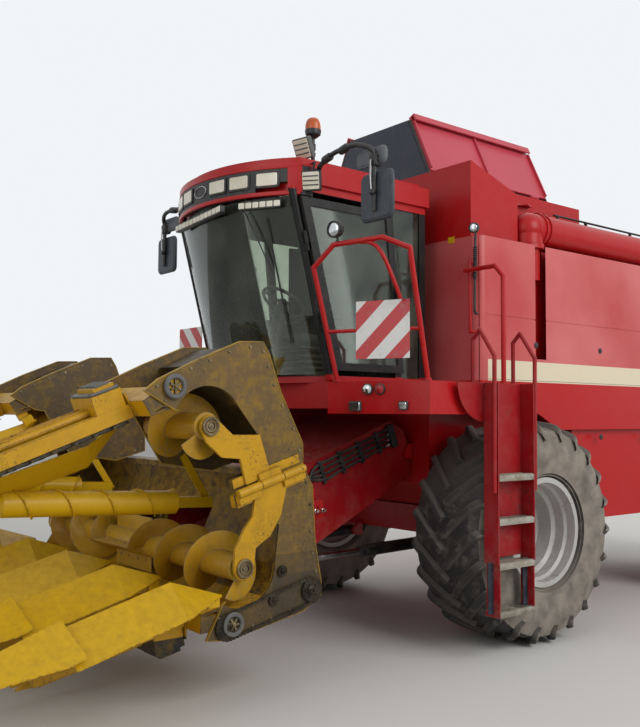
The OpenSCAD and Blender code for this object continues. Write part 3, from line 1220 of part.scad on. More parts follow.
// Wings, drawn unfolded at the left and turned over
wing_in = half_span + plate_gap;
wing_out = half_span + row_pitch;
module wing_frame(mirrored) color(yellow) at_axle() mirror([0, mirrored, 0]) folded() {
    difference() {
        union() {
            trough(wing_in + plate_t, wing_out - plate_t);
            end_plate(wing_out - plate_t, wing_out);
        }
        drum(auger_x, auger_z, wing_out - 20, wing_out + 1, shaft_r + run_fit);
    }
    open_plate(wing_in, wing_in + plate_t);
    bearing_arm(wing_arm, wing_in - arm_t, wing_in, 67);
    // Hub of the coupling to the middle's drive
    drum(2849, 533, wing_in - 12, wing_in + 2, 60);
    row_unit(half_span + row_pitch / 2);
    // Middle knuckle with the hinge pin, and its beam on the wing
    hinge_place() {
        span([wing_knuckle[0], 0, -70], [wing_knuckle[1], 100, -12]);
        span([mid_knuckles[0][0], plate_gap - 6, -92], [mid_knuckles[1][1], 110, -34]);
        hinge_rod(wing_knuckle, knuckle_r);
        hinge_rod([mid_knuckles[0][0], mid_knuckles[1][1]], fold_pin_r);
    }
}
module wing_auger(mirrored) color(yellow) at_axle() mirror([0, mirrored, 0]) folded() {
    drum(auger_x, auger_z, wing_in + plate_t + 8, wing_out - plate_t - 8, auger_tube_r);
    drum(auger_x, auger_z, wing_in - arm_t - 6, wing_out - 4, shaft_r);
    translate([auger_x, 0, auger_z]) flight(wing_in + plate_t + 10, wing_out - plate_t - 10, 1);
}
module wing_chains(mirrored) color(dark) at_axle() mirror([0, mirrored, 0]) folded()
    translate([0, half_span + row_pitch / 2, 0]) for (s = [-1, 1]) gathering_chain(s);
// Outer divider: hood, snout and a spiral tube that parts the crop
spiral_low = [3880, 706];
spiral_high = [2930, 1378];
spiral_stub = [2700, 1541];
spiral_y = 2215;
spiral_r = 78;
spiral_turns = 4;
module wing_divider(mirrored) color(yellow) at_axle() mirror([0, mirrored, 0]) folded() {
    intersection() {
        union() {
            hood(wing_out, 60);
            snout(wing_out);
        }
        span([0, half_span, 0], [6000, wing_out + 60, 3000]);
    }
    // Spiral tube with its wound strip, stub and bracket on the end plate
    v = [spiral_low.x - spiral_high.x, spiral_low.y - spiral_high.y];
    l = norm(v);
    translate([spiral_high.x, spiral_y, spiral_high.y]) rotate([0, 90 - atan2(v.y, v.x), 0]) {
        cylinder(r = spiral_r, h = l);
        linear_extrude(l - 60, twist = -360 * spiral_turns, slices = 16 * spiral_turns, segments = 0)
            polygon([[spiral_r - 6, -9], [spiral_r + 14, -7], [spiral_r + 14, 7], [spiral_r - 6, 9]]);
        translate([-36, -36, -282]) cube([72, 72, 282]);
        up(l) cylinder(r1 = spiral_r, r2 = 30, h = 60);
    }
    span([2680, wing_out - 30, 1150], [2730, wing_out - plate_t - gap, 1560]);
}
module wing_frame_left() wing_frame(0);
module wing_frame_right() wing_frame(1);
module wing_auger_left() wing_auger(0);
module wing_auger_right() wing_auger(1);
module wing_chains_left() wing_chains(0);
module wing_chains_right() wing_chains(1);
module wing_hood_left() wing_divider(0);
module wing_hood_right() wing_divider(1);

chassis_frame();
front_axle();
separator_housing();
side_panels_left();
side_panels_right();
grain_tank();
tank_end_panels();
tank_cover_left();
tank_cover_right();
engine_block();
engine_hood();
air_screen();
rear_hood();
chopper_housing();
chopper_rotor();
rear_axle();
knuckle_left();
knuckle_right();
rim_front_left();
rim_front_right();
rim_rear_left();
rim_rear_right();
tyre_front_left();
tyre_front_right();
tyre_rear_left();
tyre_rear_right();
cab_frame();
cab_roof();
cab_visor();
windscreen();
cab_windows();
cab_door();
door_glass();
seat();
cab_controls();
platform();
platform_rails();
ladder();
mirrors();
work_lamps();
auger_elbow();
unloading_auger();
feeder_house();
lift_barrels();
lift_rods();
header_frame();
header_auger();
header_hoods();
row_units();
gathering_chains();
wing_frame_left();
wing_frame_right();
wing_auger_left();
wing_auger_right();
wing_chains_left();
wing_chains_right();
wing_hood_left();
wing_hood_right();
warning_boards();
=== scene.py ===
"""Looks of the combine harvester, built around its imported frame."""
import json
import math

import bmesh
import bpy
import numpy as np
from mathutils import Matrix, Vector


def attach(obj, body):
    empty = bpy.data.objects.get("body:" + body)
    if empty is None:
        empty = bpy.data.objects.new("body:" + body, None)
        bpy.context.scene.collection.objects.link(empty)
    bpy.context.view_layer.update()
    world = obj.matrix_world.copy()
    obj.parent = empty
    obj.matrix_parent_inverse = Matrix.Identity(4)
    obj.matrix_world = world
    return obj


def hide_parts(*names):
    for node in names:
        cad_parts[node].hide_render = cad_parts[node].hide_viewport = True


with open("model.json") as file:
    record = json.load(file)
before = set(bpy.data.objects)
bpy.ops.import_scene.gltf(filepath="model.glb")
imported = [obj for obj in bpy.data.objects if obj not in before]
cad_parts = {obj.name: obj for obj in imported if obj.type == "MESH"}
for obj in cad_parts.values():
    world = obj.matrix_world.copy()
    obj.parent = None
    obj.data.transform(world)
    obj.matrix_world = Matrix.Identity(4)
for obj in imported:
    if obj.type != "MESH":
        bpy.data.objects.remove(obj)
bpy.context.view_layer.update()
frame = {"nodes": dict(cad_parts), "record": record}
nodes = frame["nodes"]
AXLE = 0.230149  # where the front axle stands, ahead of the frame's origin
VISOR_MIDDLE = 1.0  # the middle of the arc along which the cab's visor bends
TAU = 2 * math.pi
X, Y, Z = np.eye(3)  # ahead, to the left, up


# The camera
FOCAL_PIXELS, PHOTO_PIXELS = 877.06, 727  # the fitted focal length and the photograph's height
EYE = (5.8238, 6.0362, 1.8125)  # where the camera stands, in metres from the front axle
HEADING, TIP, ROLL = math.radians(51.415), math.radians(3.322), 0.0063


def front(x, y, z):
    """A point given from the middle of the front axle's line on the ground."""
    return Vector((x + AXLE, y, z))


def make_camera():
    """The photograph's camera: it looks down the heading, tipped up a little, with a slight roll."""
    level = math.cos(TIP)
    ahead = Vector((-math.cos(HEADING) * level, -math.sin(HEADING) * level, math.sin(TIP)))
    side = ahead.cross(Vector((0, 0, 1))).normalized()
    above = side.cross(ahead)
    right = side * math.cos(ROLL) + above * math.sin(ROLL)
    up = above * math.cos(ROLL) - side * math.sin(ROLL)
    data = bpy.data.cameras.new("camera")
    data.sensor_width, data.lens = 36, FOCAL_PIXELS * 36 / PHOTO_PIXELS
    data.clip_start, data.clip_end = 0.1, 200
    camera = bpy.data.objects.new("camera", data)
    bpy.context.scene.collection.objects.link(camera)
    turn = Matrix((right, up, -ahead)).transposed().to_4x4()
    camera.matrix_world = Matrix.Translation(front(*EYE)) @ turn
    bpy.context.scene.camera = camera


make_camera()


# Surfaces: each is a grid of points, a row for each step along it and a column for each step round it
def unit(v):
    """v at length 1."""
    return v / np.linalg.norm(v, axis=-1, keepdims=True)


def smooth(points, steps=8):
    """A smooth line through the points: between b and c it is half of
    2b + (c - a) t + (2a - 5b + 4c - d) t^2 + (3b - a - 3c + d) t^3, with a and d the points beside them."""
    p = np.asarray(points, float)
    p = np.vstack([2 * p[0] - p[1], p, 2 * p[-1] - p[-2]])
    a, b, c, d = (p[i:len(p) - 3 + i, None] for i in range(4))
    t = np.linspace(0, 1, steps, endpoint=False)[None, :, None]
    line = (2 * b + (c - a) * t + (2 * a - 5 * b + 4 * c - d) * t ** 2 + (3 * b - a - 3 * c + d) * t ** 3) / 2
    return np.vstack([line.reshape(-1, p.shape[1]), p[-2]])


def round_profile(radius, sides=14):
    """Points of a circle of that radius."""
    a = np.arange(sides) * TAU / sides
    return radius * np.stack([np.cos(a), np.sin(a)], 1)


def rounded(width, height, radius, steps=4):
    """Outline of a rectangle with round corners: corner centre + radius * (cos a, sin a), by quarters."""
    a = np.linspace(0, TAU / 4, steps)[None] + np.arange(4)[:, None] * TAU / 4
    cx = np.array([1, -1, -1, 1])[:, None] * (width / 2 - radius)
    cy = np.array([1, 1, -1, -1])[:, None] * (height / 2 - radius)
    return np.stack([cx + radius * np.cos(a), cy + radius * np.sin(a)], -1).reshape(-1, 2)


def carried(path, profile, scale=1.0):
    """A closed tube: each profile point (across, up) goes along the path as path + scale * (across * side +
    up * lift). side is square to the run and to the path's flattest direction."""
    path = np.asarray(path, float)
    run = unit(np.gradient(path, axis=0))
    flat = np.linalg.svd(run)[2][-1]
    side = unit(np.cross(run, flat))
    lift = np.cross(side, run)
    q = np.asarray(profile, float)[None] * np.broadcast_to(scale, len(path))[:, None, None]
    skin = path[:, None] + q[..., :1] * side[:, None] + q[..., 1:] * lift[:, None]
    ends = [np.repeat(path[i][None, None], skin.shape[1], 1) for i in (0, -1)]
    return np.concatenate([ends[0], skin, ends[1]])


def pipe(points, radius, sides=14, steps=8):
    """A round pipe through the points."""
    return carried(smooth(points, steps), round_profile(1, sides), radius)


def turned(profile, centre, axis, sides=40):
    """A turned part: centre + distance * axis + radius * (cos a * e + sin a * f) for each (radius, distance),
    where e and f are square to the axis and to each other."""
    axis = unit(np.asarray(axis, float))
    e = unit(np.cross(axis, [0.3, 0.2, 1.0] if abs(axis[2]) < 0.9 else [1.0, 0.2, 0.1]))
    f = np.cross(axis, e)
    a = np.arange(sides) * TAU / sides
    r, h = np.asarray(profile, float).T
    rim = np.cos(a)[None, :, None] * e + np.sin(a)[None, :, None] * f
    return np.asarray(centre, float) + h[:, None, None] * axis + r[:, None, None] * rim


def slab(outline, thick, origin, across, up, bevel=0.004):
    """A plate: its outline (a, b) at origin + a * across + b * up, thickened along across x up, with its
    edges cut by bevel."""
    outline = np.asarray(outline, float)
    across, up = unit(np.asarray(across, float)), unit(np.asarray(up, float))
    out = np.cross(across, up)
    middle = outline.mean(0)
    inset = outline + unit(middle - outline) * bevel
    rows = [(middle + 0 * outline, 0), (inset, 0), (outline, bevel), (outline, thick - bevel), (inset, thick),
            (middle + 0 * outline, thick)]
    start_at = np.asarray(origin, float)
    return np.stack([start_at + o[:, :1] * across + o[:, 1:] * up + h * out for o, h in rows])


def block(low, high, bevel=0.004):
    """A box between two corners with its edges cut."""
    low, high = np.asarray(low, float), np.asarray(high, float)
    w, d, h = high - low
    return slab([(0, 0), (w, 0), (w, d), (0, d)], h, low, X, Y, bevel)


def arc(radius, start, end, z, steps=24):
    """Points of a level arc about the middle of the visor, from start to end degrees."""
    a = np.radians(np.linspace(start, end, steps))
    return np.stack([VISOR_MIDDLE + radius * np.cos(a), radius * np.sin(a), z + 0 * a], 1)


def hex_bolt(centre, axis, size=0.012):
    """A hexagon head on its washer."""
    washer = [(0, 0), (size * 1.25, 0), (size * 1.25, size * 0.2), (0, size * 0.2)]
    head = [(0, 0), (size, 0), (size, size * 0.75), (size * 0.8, size * 0.9), (0, size * 0.9)]
    return [turned(washer, centre, axis, 10), turned(head, centre, axis, 6)]


def mirrored(grids):
    """The grids on the other side of the machine."""
    return [g * np.array([1, -1, 1]) for g in grids]


# A point on the line about which a wing folds, and how far the line falls towards the front
FOLD_HINGE, FOLD_SLOPE = np.array([2.906, 1.5, 1.298]), math.radians(16.4)


def folded(grids):
    """Grids drawn on the working left wing, turned half a turn about the sloping hinge line onto the middle:
    p becomes h + 2 ((p - h) . u) u - (p - h)."""
    u = np.array([math.cos(FOLD_SLOPE), 0, -math.sin(FOLD_SLOPE)])
    return [FOLD_HINGE + 2 * ((g - FOLD_HINGE) @ u)[..., None] * u - (g - FOLD_HINGE) for g in grids]


def make(name, body, material, grids, replaces=(), slot=None):
    """One piece from grids of points (rows, round, 3) given from the front axle: neighbours are joined by
    quads, each row closes on itself, points that meet are merged, and faces are turned outwards. Edges of
    over 32 degrees stay sharp."""
    points, faces, count = [], [], 0
    for g in grids:
        n, m = g.shape[:2]
        k = count + np.arange(n * m).reshape(n, m)
        j = np.roll(k, -1, axis=1)
        faces.append(np.stack([k[:-1], j[:-1], j[1:], k[1:]], -1).reshape(-1, 4))
        points.append(g.reshape(-1, 3))
        count += n * m
    mesh = bpy.data.meshes.new(name)
    mesh.from_pydata((np.concatenate(points) + [AXLE, 0, 0]).tolist(), [], np.concatenate(faces).tolist())
    shell = bmesh.new()
    shell.from_mesh(mesh)
    bmesh.ops.remove_doubles(shell, verts=shell.verts, dist=2e-5)
    bmesh.ops.dissolve_degenerate(shell, edges=shell.edges, dist=1e-6)
    bmesh.ops.recalc_face_normals(shell, faces=shell.faces)
    shell.to_mesh(mesh)
    shell.free()
    mesh.shade_smooth()
    mesh.set_sharp_from_angle(angle=math.radians(32))
    mesh.materials.append(material)
    piece = bpy.data.objects.new(name, mesh)
    bpy.context.scene.collection.objects.link(piece)
    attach(piece, body)
    if replaces:
        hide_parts(*replaces)


# Shader helpers
def linear(hex_colour):
    """An sRGB hex colour as a linear RGBA: c / 12.92 in the darks, else ((c + 0.055) / 1.055) ** 2.4."""
    parts = [int(hex_colour[i:i + 2], 16) / 255 for i in (0, 2, 4)]
    return [c / 12.92 if c < 0.04045 else ((c + 0.055) / 1.055) ** 2.4 for c in parts] + [1]


def add(material, kind, inputs=None, **settings):
    """Adds a shader node of that kind with its settings, and sets or links each input by name or number."""
    tree = material.node_tree
    made = tree.nodes.new("ShaderNode" + kind)
    for key, value in settings.items():
        setattr(made, key, value)
    for key, value in (inputs or {}).items():
        if isinstance(value, bpy.types.NodeSocket):
            tree.links.new(value, made.inputs[key])
        else:
            made.inputs[key].default_value = value
    return made


def start(name, shader_inputs):
    """A new material with only its Principled shader, whose own sockets are set here."""
    material = bpy.data.materials.new(name)
    material.use_nodes = True
    material.node_tree.nodes.clear()
    shader = add(material, "BsdfPrincipled", shader_inputs)
    add(material, "OutputMaterial", {"Surface": shader.outputs[0]})
    return material, shader


def placed(material):
    """Object coordinates: metres in the frame, as the piece stands at rest."""
    return add(material, "TexCoord").outputs["Object"]


def noise(material, scale, detail=4, rough=0.5, coords=None):
    """Noise over Object coordinates, its scale in blotches per metre."""
    settings = {"Vector": coords or placed(material), "Scale": scale, "Detail": detail, "Roughness": rough}
    return add(material, "TexNoise", settings).outputs[0]


def ramp(material, value, low, high, out_low=0.0, out_high=1.0):
    """value between low and high, stretched to out_low and out_high and clamped."""
    return add(material, "MapRange", {0: value, 1: low, 2: high, 3: out_low, 4: out_high}).outputs[0]


def maths(material, operation, first, second=0.0):
    """first and second put through one sum."""
    return add(material, "Math", {0: first, 1: second}, operation=operation, use_clamp=True).outputs[0]


def blend_colour(material, amount, first, second):
    """first turning into second by amount; each is a hex colour or a link."""
    ends = [linear(c) if isinstance(c, str) else c for c in (first, second)]
    return add(material, "Mix", {0: amount, 6: ends[0], 7: ends[1]}, data_type="RGBA").outputs[2]


def edge_mask(material, radius):
    """How far the surface is from flat within radius: 0 on a face and 1 at a sharp edge."""
    softened = add(material, "Bevel", {"Radius": radius}, samples=4).outputs[0]
    flat = add(material, "NewGeometry").outputs["Normal"]
    dot = add(material, "VectorMath", {0: softened, 1: flat}, operation="DOT_PRODUCT").outputs["Value"]
    return ramp(material, dot, 0.995, 0.80)


def facing_up(material):
    """1 where the surface looks at the sky and 0 on walls and undersides."""
    normal = add(material, "SeparateXYZ", {0: add(material, "NewGeometry").outputs["Normal"]}).outputs[2]
    return ramp(material, normal, 0.25, 0.95)


def height(material):
    """The height above the ground, in metres, as the piece stands at rest."""
    return add(material, "SeparateXYZ", {0: placed(material)}).outputs[2]


def along(material, axis):
    """The distance along an axis of the frame: 0 ahead, 1 to the left, 2 up, and "out" to either side."""
    parts = add(material, "SeparateXYZ", {0: placed(material)}).outputs
    if axis == "out":
        return add(material, "Math", {0: parts[1]}, operation="ABSOLUTE").outputs[0]
    return parts[axis]


def band(material, axis, low, high):
    """1 between low and high along an axis of the frame, with soft edges of 4 mm."""
    where, soft = along(material, axis), 0.002
    return maths(material, "MULTIPLY", ramp(material, where, low - soft, low + soft),
                 ramp(material, where, high + soft, high - soft))


def zone(material, *bands):
    """1 where every band (axis, low, high) holds."""
    inside = band(material, *bands[0])
    for one in bands[1:]:
        inside = maths(material, "MULTIPLY", inside, band(material, *one))
    return inside


def finish(material, shader, base, rough, bump):
    """Links a material's colour, roughness and bump to its shader."""
    for socket, value in (("Base Color", base), ("Roughness", rough), ("Normal", bump)):
        material.node_tree.links.new(value, shader.inputs[socket])
    return material


def enamel(name, colour, faded_and_sunlit, under, roughness=0.35, fade_and_sunlight=0.5, wear=0.0, edge=0.0, dust=0.3,
           dust_colour="8f8375", dust_top=1.2, paint_and_shade_zones=(), coat=0.06, shine=0.28, upright=0.25):
    """Sprayed machine enamel on pressed steel sheet: it chalks and fades on top, chips to what is under it
    along edges, and holds dust low down and on ledges; on the body's side panels its chalked colour is
    painted sunlight. upright is the share of that chalking on upright faces. stripes are (colour, bands)
    zones of another paint, where two colours make a mottle, and some of them are painted shade."""
    material, shader = start(name, {"Coat Weight": coat, "Coat Roughness": 0.18, "Specular IOR Level": shine})
    cloud = noise(material, 0.9, 3)
    # The chalked colour mottles over tops and, by upright, over walls; on the side panels it is painted
    # sunlight
    chalk_and_sunlight = maths(material, "MULTIPLY", ramp(material, cloud, 0.35, 0.65, 0.35, 1.0),
                  ramp(material, facing_up(material), 0, 1, upright, 1.0))
    base = blend_colour(material, maths(material, "MULTIPLY", chalk_and_sunlight, fade_and_sunlight), colour, faded_and_sunlit)
    for zone_colour, *bands in paint_and_shade_zones:
        if isinstance(zone_colour, tuple):
            zone_colour = blend_colour(material, ramp(material, noise(material, 10, 9, 0.78), 0.47, 0.60), *zone_colour)
        base = blend_colour(material, zone(material, *bands), base, zone_colour)
    streak = noise(material, 7, 6, 0.65)
    grime = maths(material, "MULTIPLY", ramp(material, streak, 0.45, 0.75),
                  ramp(material, height(material), dust_top, dust_top - 0.9, 0.25, 1.0))
    if wear or edge:
        flakes = ramp(material, noise(material, 48, 9, 0.75), 0.58 - 0.14 * wear, 0.62 - 0.14 * wear)
        patches = ramp(material, noise(material, 2.6, 4), 0.50, 0.66)
        chips = maths(material, "MULTIPLY", flakes, patches)
        if edge:
            rubbed = maths(material, "MULTIPLY", edge_mask(material, 0.008),
                           ramp(material, noise(material, 34, 6, 0.7), 0.62 - 0.3 * edge, 0.72 - 0.3 * edge))
            chips = maths(material, "MAXIMUM", chips if wear else 0.0, rubbed)
        base = blend_colour(material, chips, base, under)
    dirt = maths(material, "MULTIPLY", grime, dust)
    settled = ramp(material, noise(material, 18, 8, 0.68), 0.38, 0.68, 0, dust)
    dirt = maths(material, "MAXIMUM", dirt, maths(material, "MULTIPLY", facing_up(material), settled))
    base = blend_colour(material, dirt, base, dust_colour)
    rough = maths(material, "ADD", ramp(material, cloud, 0.3, 0.7, roughness - 0.06, roughness + 0.1),
                  maths(material, "MULTIPLY", dirt, 0.45))
    # Sprayed sheet has a long soft wave of a few decimetres and a fine peel, drawn at 8 mm so that it shows
    wave, peel = noise(material, 3.0, 2), noise(material, 120, 2)
    bump = add(material, "Bump", {"Strength": 0.25, "Distance": 0.004, "Height": wave}).outputs[0]
    orange_peel = {"Strength": 0.12, "Distance": 0.0006, "Height": peel, "Normal": bump}
    bump = add(material, "Bump", orange_peel).outputs[0]
    return finish(material, shader, base, rough, bump)


def metal(name, colour, dark, roughness, grain=220, dust=0.3, dust_colour="7d6f5c"):
    """Bare or plated steel: grain lines from rolling, dull stains and dust."""
    material, shader = start(name, {"Metallic": 1.0})
    where = add(material, "Mapping", {0: placed(material), 3: (1, 8, 1)}).outputs[0]
    lines = noise(material, grain, 3, 0.6, where)
    stain = noise(material, 9, 6, 0.65)
    base = blend_colour(material, ramp(material, stain, 0.35, 0.7), colour, dark)
    dirt = ramp(material, noise(material, 5, 7, 0.7), 0.48, 0.72, 0, dust)
    base = blend_colour(material, dirt, base, dust_colour)
    rough = maths(material, "ADD", ramp(material, lines, 0.3, 0.7, roughness - 0.05, roughness + 0.12), dirt)
    bump = add(material, "Bump", {"Strength": 0.1, "Distance": 0.001, "Height": lines}).outputs[0]
    return finish(material, shader, base, rough, bump)


def plastic(name, colour, worn, roughness=0.45, grain=420, dust=0.25, dust_colour="8d8476", walls=0.0):
    """Moulded plastic or rubber: a fine grain from the mould, a dull bloom and dust in patches. walls is the
    share of mud on faces that look sideways, such as a tyre's side walls."""
    material, shader = start(name, {"Specular IOR Level": 0.45})
    cloud = noise(material, 6, 5, 0.6)
    base = blend_colour(material, ramp(material, cloud, 0.35, 0.7), colour, worn)
    dirt = maths(material, "MAXIMUM", ramp(material, noise(material, 11, 6, 0.7), 0.5, 0.8, 0, dust),
                 maths(material, "MULTIPLY", facing_up(material), dust))
    if walls:
        normal = add(material, "SeparateXYZ", {0: add(material, "NewGeometry").outputs["Normal"]}).outputs[1]
        side = add(material, "Math", {0: normal}, operation="ABSOLUTE").outputs[0]
        patches = ramp(material, cloud, 0.3, 0.6, 0.45, 1.0)
        mud = maths(material, "MULTIPLY", ramp(material, side, 0.55, 0.9), patches)
        dirt = maths(material, "MAXIMUM", dirt, maths(material, "MULTIPLY", mud, walls))
    base = blend_colour(material, dirt, base, dust_colour)
    rough = maths(material, "ADD", ramp(material, cloud, 0.3, 0.7, roughness - 0.05, roughness + 0.08), dirt)
    grains = noise(material, grain, 2)
    bump = add(material, "Bump", {"Strength": 0.2, "Distance": 0.0008, "Height": grains}).outputs[0]
    return finish(material, shader, base, rough, bump)


def glass(name, tint, film_most):
    """Toughened cab glass: light goes straight through its tint, its faces mirror the sky more and more
    towards grazing, and a thin film of dust lies over both."""
    material, shader = start(name, {"Base Color": linear("9a9c90"), "Roughness": 0.6, "IOR": 1.5})
    through = add(material, "BsdfTransparent", {"Color": linear(tint)}).outputs[0]
    sheen = add(material, "BsdfGlossy", {"Color": linear("f2f6f4"), "Roughness": 0.03}).outputs[0]
    # The refractive index of plain window glass
    rim = add(material, "Fresnel", {"IOR": 1.52}).outputs[0]
    pane = add(material, "MixShader", {0: rim, 1: through, 2: sheen}).outputs[0]
    film = ramp(material, noise(material, 2.5, 6, 0.6), 0.40, 0.80, 0.02, film_most)
    dusty = add(material, "MixShader", {0: film, 1: pane, 2: shader.outputs[0]}).outputs[0]
    tree = material.node_tree
    ends = next(one for one in tree.nodes if one.type == "OUTPUT_MATERIAL")
    tree.links.new(dusty, ends.inputs["Surface"])
    return material


def dress(material, *names):
    """Puts the material on whole CAD nodes."""
    for name in names:
        slots = nodes[name].material_slots
        if not slots:
            nodes[name].data.materials.append(material)
        for one in slots:
            one.material = material


# Paints: (name, sprayed colour, colour where chalked by weather and, on the side panels, painted sunlight,
# what shows under a chip, roughness)
# Faded red enamel: pinkish where the sun has chalked it, deep red in its shade
red = enamel("red_enamel", "ac0d10", "b8262c", "3a2a26", 0.33, fade_and_sunlight=0.45, dust=0.2)
# The tank's lids: a lighter, pinker red than the body
red_lids_lighter = enamel("red_enamel_lighter_on_lids", "b83440", "d06a78", "3a2a26", 0.36, fade_and_sunlight=0.9, dust=0.12)
# The cab's posts are black between the sill and the eaves
red_cab = enamel("red_enamel_with_black_posts", "ac0d10", "b8262c", "3a2a26", 0.33, fade_and_sunlight=0.4, dust=0.2,
                 paint_and_shade_zones=(("121313", (2, 2.118, 3.502)),))
# The cream band starts where the front panel ends, and has a thin dark line near its lower edge
BAND_LOW, BAND_HIGH, LINE_LOW = 2.100, 2.275, 2.110
ON_SIDES = ((0, -9, AXLE + 0.277), ("out", 1.270, 1.400))
# On the side panels the pink chalking, strong even on upright faces, is painted sunlight; below the band the
# red is laid plain, without it
red_side_painted_sunlight = enamel("red_enamel_with_cream_band_and_painted_sunlight", "b00f13", "dc8584", "3a2a26", 0.3, fade_and_sunlight=0.9, dust=0.12,
                  upright=0.72, paint_and_shade_zones=(("b30a0c", (2, 0.8, BAND_LOW)),
                                         ("dccfb4", (2, BAND_LOW, BAND_HIGH), *ON_SIDES),
                                         ("5a5148", (2, LINE_LOW, LINE_LOW + 0.004), *ON_SIDES)))
red_worn = enamel("red_enamel_scuffed", "960c13", "a8353d", "2c2523", 0.4, fade_and_sunlight=0.4, wear=0.25, edge=0.5,
                  dust=0.45)
# Corn header enamel: chrome yellow rubbed through to primer and rust by stalks, browned by their sap and dust
STAINED = dict(wear=0.3, edge=0.75, dust=0.4, dust_colour="54401f", dust_top=2.2)
yellow = enamel("yellow_enamel_scuffed", "c29208", "c9a02a", "2b2620", 0.42, fade_and_sunlight=0.4, **STAINED)
hood_yellow = enamel("yellow_enamel_hoods", "cda006", "cba62e", "3a3022", 0.36, fade_and_sunlight=0.4, wear=0.0, edge=0.55,
                     dust=0.45, dust_colour="6f5624", dust_top=1.0)
# Zones of the header: end plates in dark grey rubbed back to yellow, a brown mottle of painted shade in the
# middle's trough, and an oily side drive
RUBBED_GREY, TROUGH_PAINTED_SHADE = ("2a2c2f", "655023"), ("86661c", "4c3817")
FOLDED_WING_DARK, OILY = ("2b2822", "54431f"), "2f2c27"
MIDDLE_PLATE, WING_PLATE = ("out", 1.4445, 1.4612), ("out", 0.7485, 0.7655)
DRIVE_FACE = ("out", 1.4600, 1.4995)
mid_yellow = enamel("yellow_enamel_middle", "c08f08", "c69c28", "2b2620", 0.42, fade_and_sunlight=0.4, **STAINED, paint_and_shade_zones=(
    (RUBBED_GREY, MIDDLE_PLATE),
    # The middle's trough, its back wall and top beam: a brown mottle of painted shade
    (TROUGH_PAINTED_SHADE, ("out", -1, 1.4400), (0, 2.2, AXLE + 2.62)),
    (OILY, DRIVE_FACE, (2, 0.40, 0.79)),
    (OILY, DRIVE_FACE, (2, 0.40, 0.92), (0, 2.2, 2.78))))
wing_yellow = enamel("yellow_enamel_wings", "c08f08", "c69c28", "2b2620", 0.42, fade_and_sunlight=0.4, **STAINED, paint_and_shade_zones=(
    (RUBBED_GREY, MIDDLE_PLATE),
    (RUBBED_GREY, WING_PLATE),
    # The folded wing's rear part, over its trough: nearly black, mottled with brown
    (FOLDED_WING_DARK, ("out", 0.77, 1.4400), (0, 2.2, AXLE + 3.05))))
# The augers' yellow is thin and rubbed to grey along the rims, with dust in between
auger_yellow = enamel("yellow_enamel_augers", "b98d1a", "a98538", "8d8470", 0.38, fade_and_sunlight=0.6, wear=0.2,
                      edge=0.9, dust=0.6, dust_colour="7d663b", dust_top=2.6)
# Row units: nearly black, mottled with brown, below the deck, where the snapping rollers' gearboxes hang
row_yellow = enamel("yellow_enamel_row_units", "b98b0c", "bd9530", "2b2620", 0.42, fade_and_sunlight=0.4, **STAINED,
                    paint_and_shade_zones=((("262421", "5a4519"), (2, 0.0, 0.455), (0, 2.0, AXLE + 3.30)),))
# Flanges of the end plates, worn almost bare
edge_yellow = enamel("yellow_enamel_edges", "b08a14", "b8933a", "4a4436", 0.4, fade_and_sunlight=0.5, wear=0.6, edge=0.9,
                     dust=0.5, dust_colour="5f5038", dust_top=2.4)
# Cast grey, dark chipped, blue-grey and black paints of small parts: each nearly without gloss
gear_grey = enamel("grey_cast_enamel", "5c5d5c", "74736f", "3b3834", 0.5, fade_and_sunlight=0.5, wear=0.3, edge=0.5,
                   dust=0.5)
dark = enamel("dark_enamel_chipped", "2c2c2b", "3a3833", "8d7420", 0.45, fade_and_sunlight=0.5, wear=0.3, edge=0.6,
              dust=0.6, dust_colour="6b6152")
blue_grey = enamel("blue_grey_enamel", "2b3340", "3c4450", "6a5f50", 0.4, fade_and_sunlight=0.5, wear=0.05, dust=0.3)
black_coat = enamel("black_enamel", "141414", "232323", "4a4640", 0.38, fade_and_sunlight=0.4, wear=0.1, edge=0.4,
                    dust=0.3)
# Wheel paint with metal flakes: a soft bright sheen under brown splashes
silver = enamel("silver_wheel_enamel", "b4b2ad", "c9c6bf", "6f5f4c", 0.30, fade_and_sunlight=0.4, wear=0.1, edge=0.2,
                dust=0.55, dust_colour="77685a", shine=0.6)
# Metals: (name, colour, stain, roughness, grain); rolled plate is dull, chrome and reflectors are bright
worn_steel = metal("worn_steel_flighting", "8d7f63", "4b4030", 0.38, dust=0.5)
chain_steel = metal("oily_chain_steel", "4c463d", "231f1b", 0.42, 300, dust=0.5, dust_colour="5d4f3a")
bright_steel = metal("chromed_steel", "c9c9c8", "8f8c88", 0.16, dust=0.15)
headlamp = metal("mirrored_reflector", "dfe2e2", "a9adae", 0.12, 60, dust=0.1)
tread_metal = metal("muddy_ribbed_aluminium", "b9b5ab", "877f70", 0.42, 160, dust=0.6, dust_colour="8a7d66")
mirror_glass = metal("silvered_mirror", "c5cbd0", "b0b6bb", 0.06, 40, dust=0.08)
# Plastics, rubber and cloth: (name, colour, worn colour, roughness, grain), dull and nearly without a glint
black_plastic = plastic("black_moulded_plastic", "161617", "29292a")
hose_rubber = plastic("black_hose_rubber", "171717", "2b2a28", 0.5, 500, dust=0.35)
rubber = plastic("dusty_tyre_rubber", "201f20", "34312f", 0.62, 260, dust=0.5, dust_colour="9a9084",
                 walls=0.80)
red_lens = plastic("red_lamp_lens", "a81318", "8c1014", 0.2, 90, dust=0.15)
grey_plastic = plastic("dusty_grey_plastic", "50545a", "686b6e", 0.5, 300, dust=0.35)
amber = plastic("amber_beacon_lens", "c25a1c", "a84812", 0.22, 90, dust=0.2)
mirror_back = plastic("dark_blue_grey_plastic", "2a3038", "3a4149", 0.4, 300, dust=0.2)
dark_screen = plastic("dark_screen_glass", "0c0f12", "14181c", 0.12, 40, dust=0.1)
lining_cloth = plastic("charcoal_headlining", "202225", "2b2d30", 0.8, 700, dust=0.05)
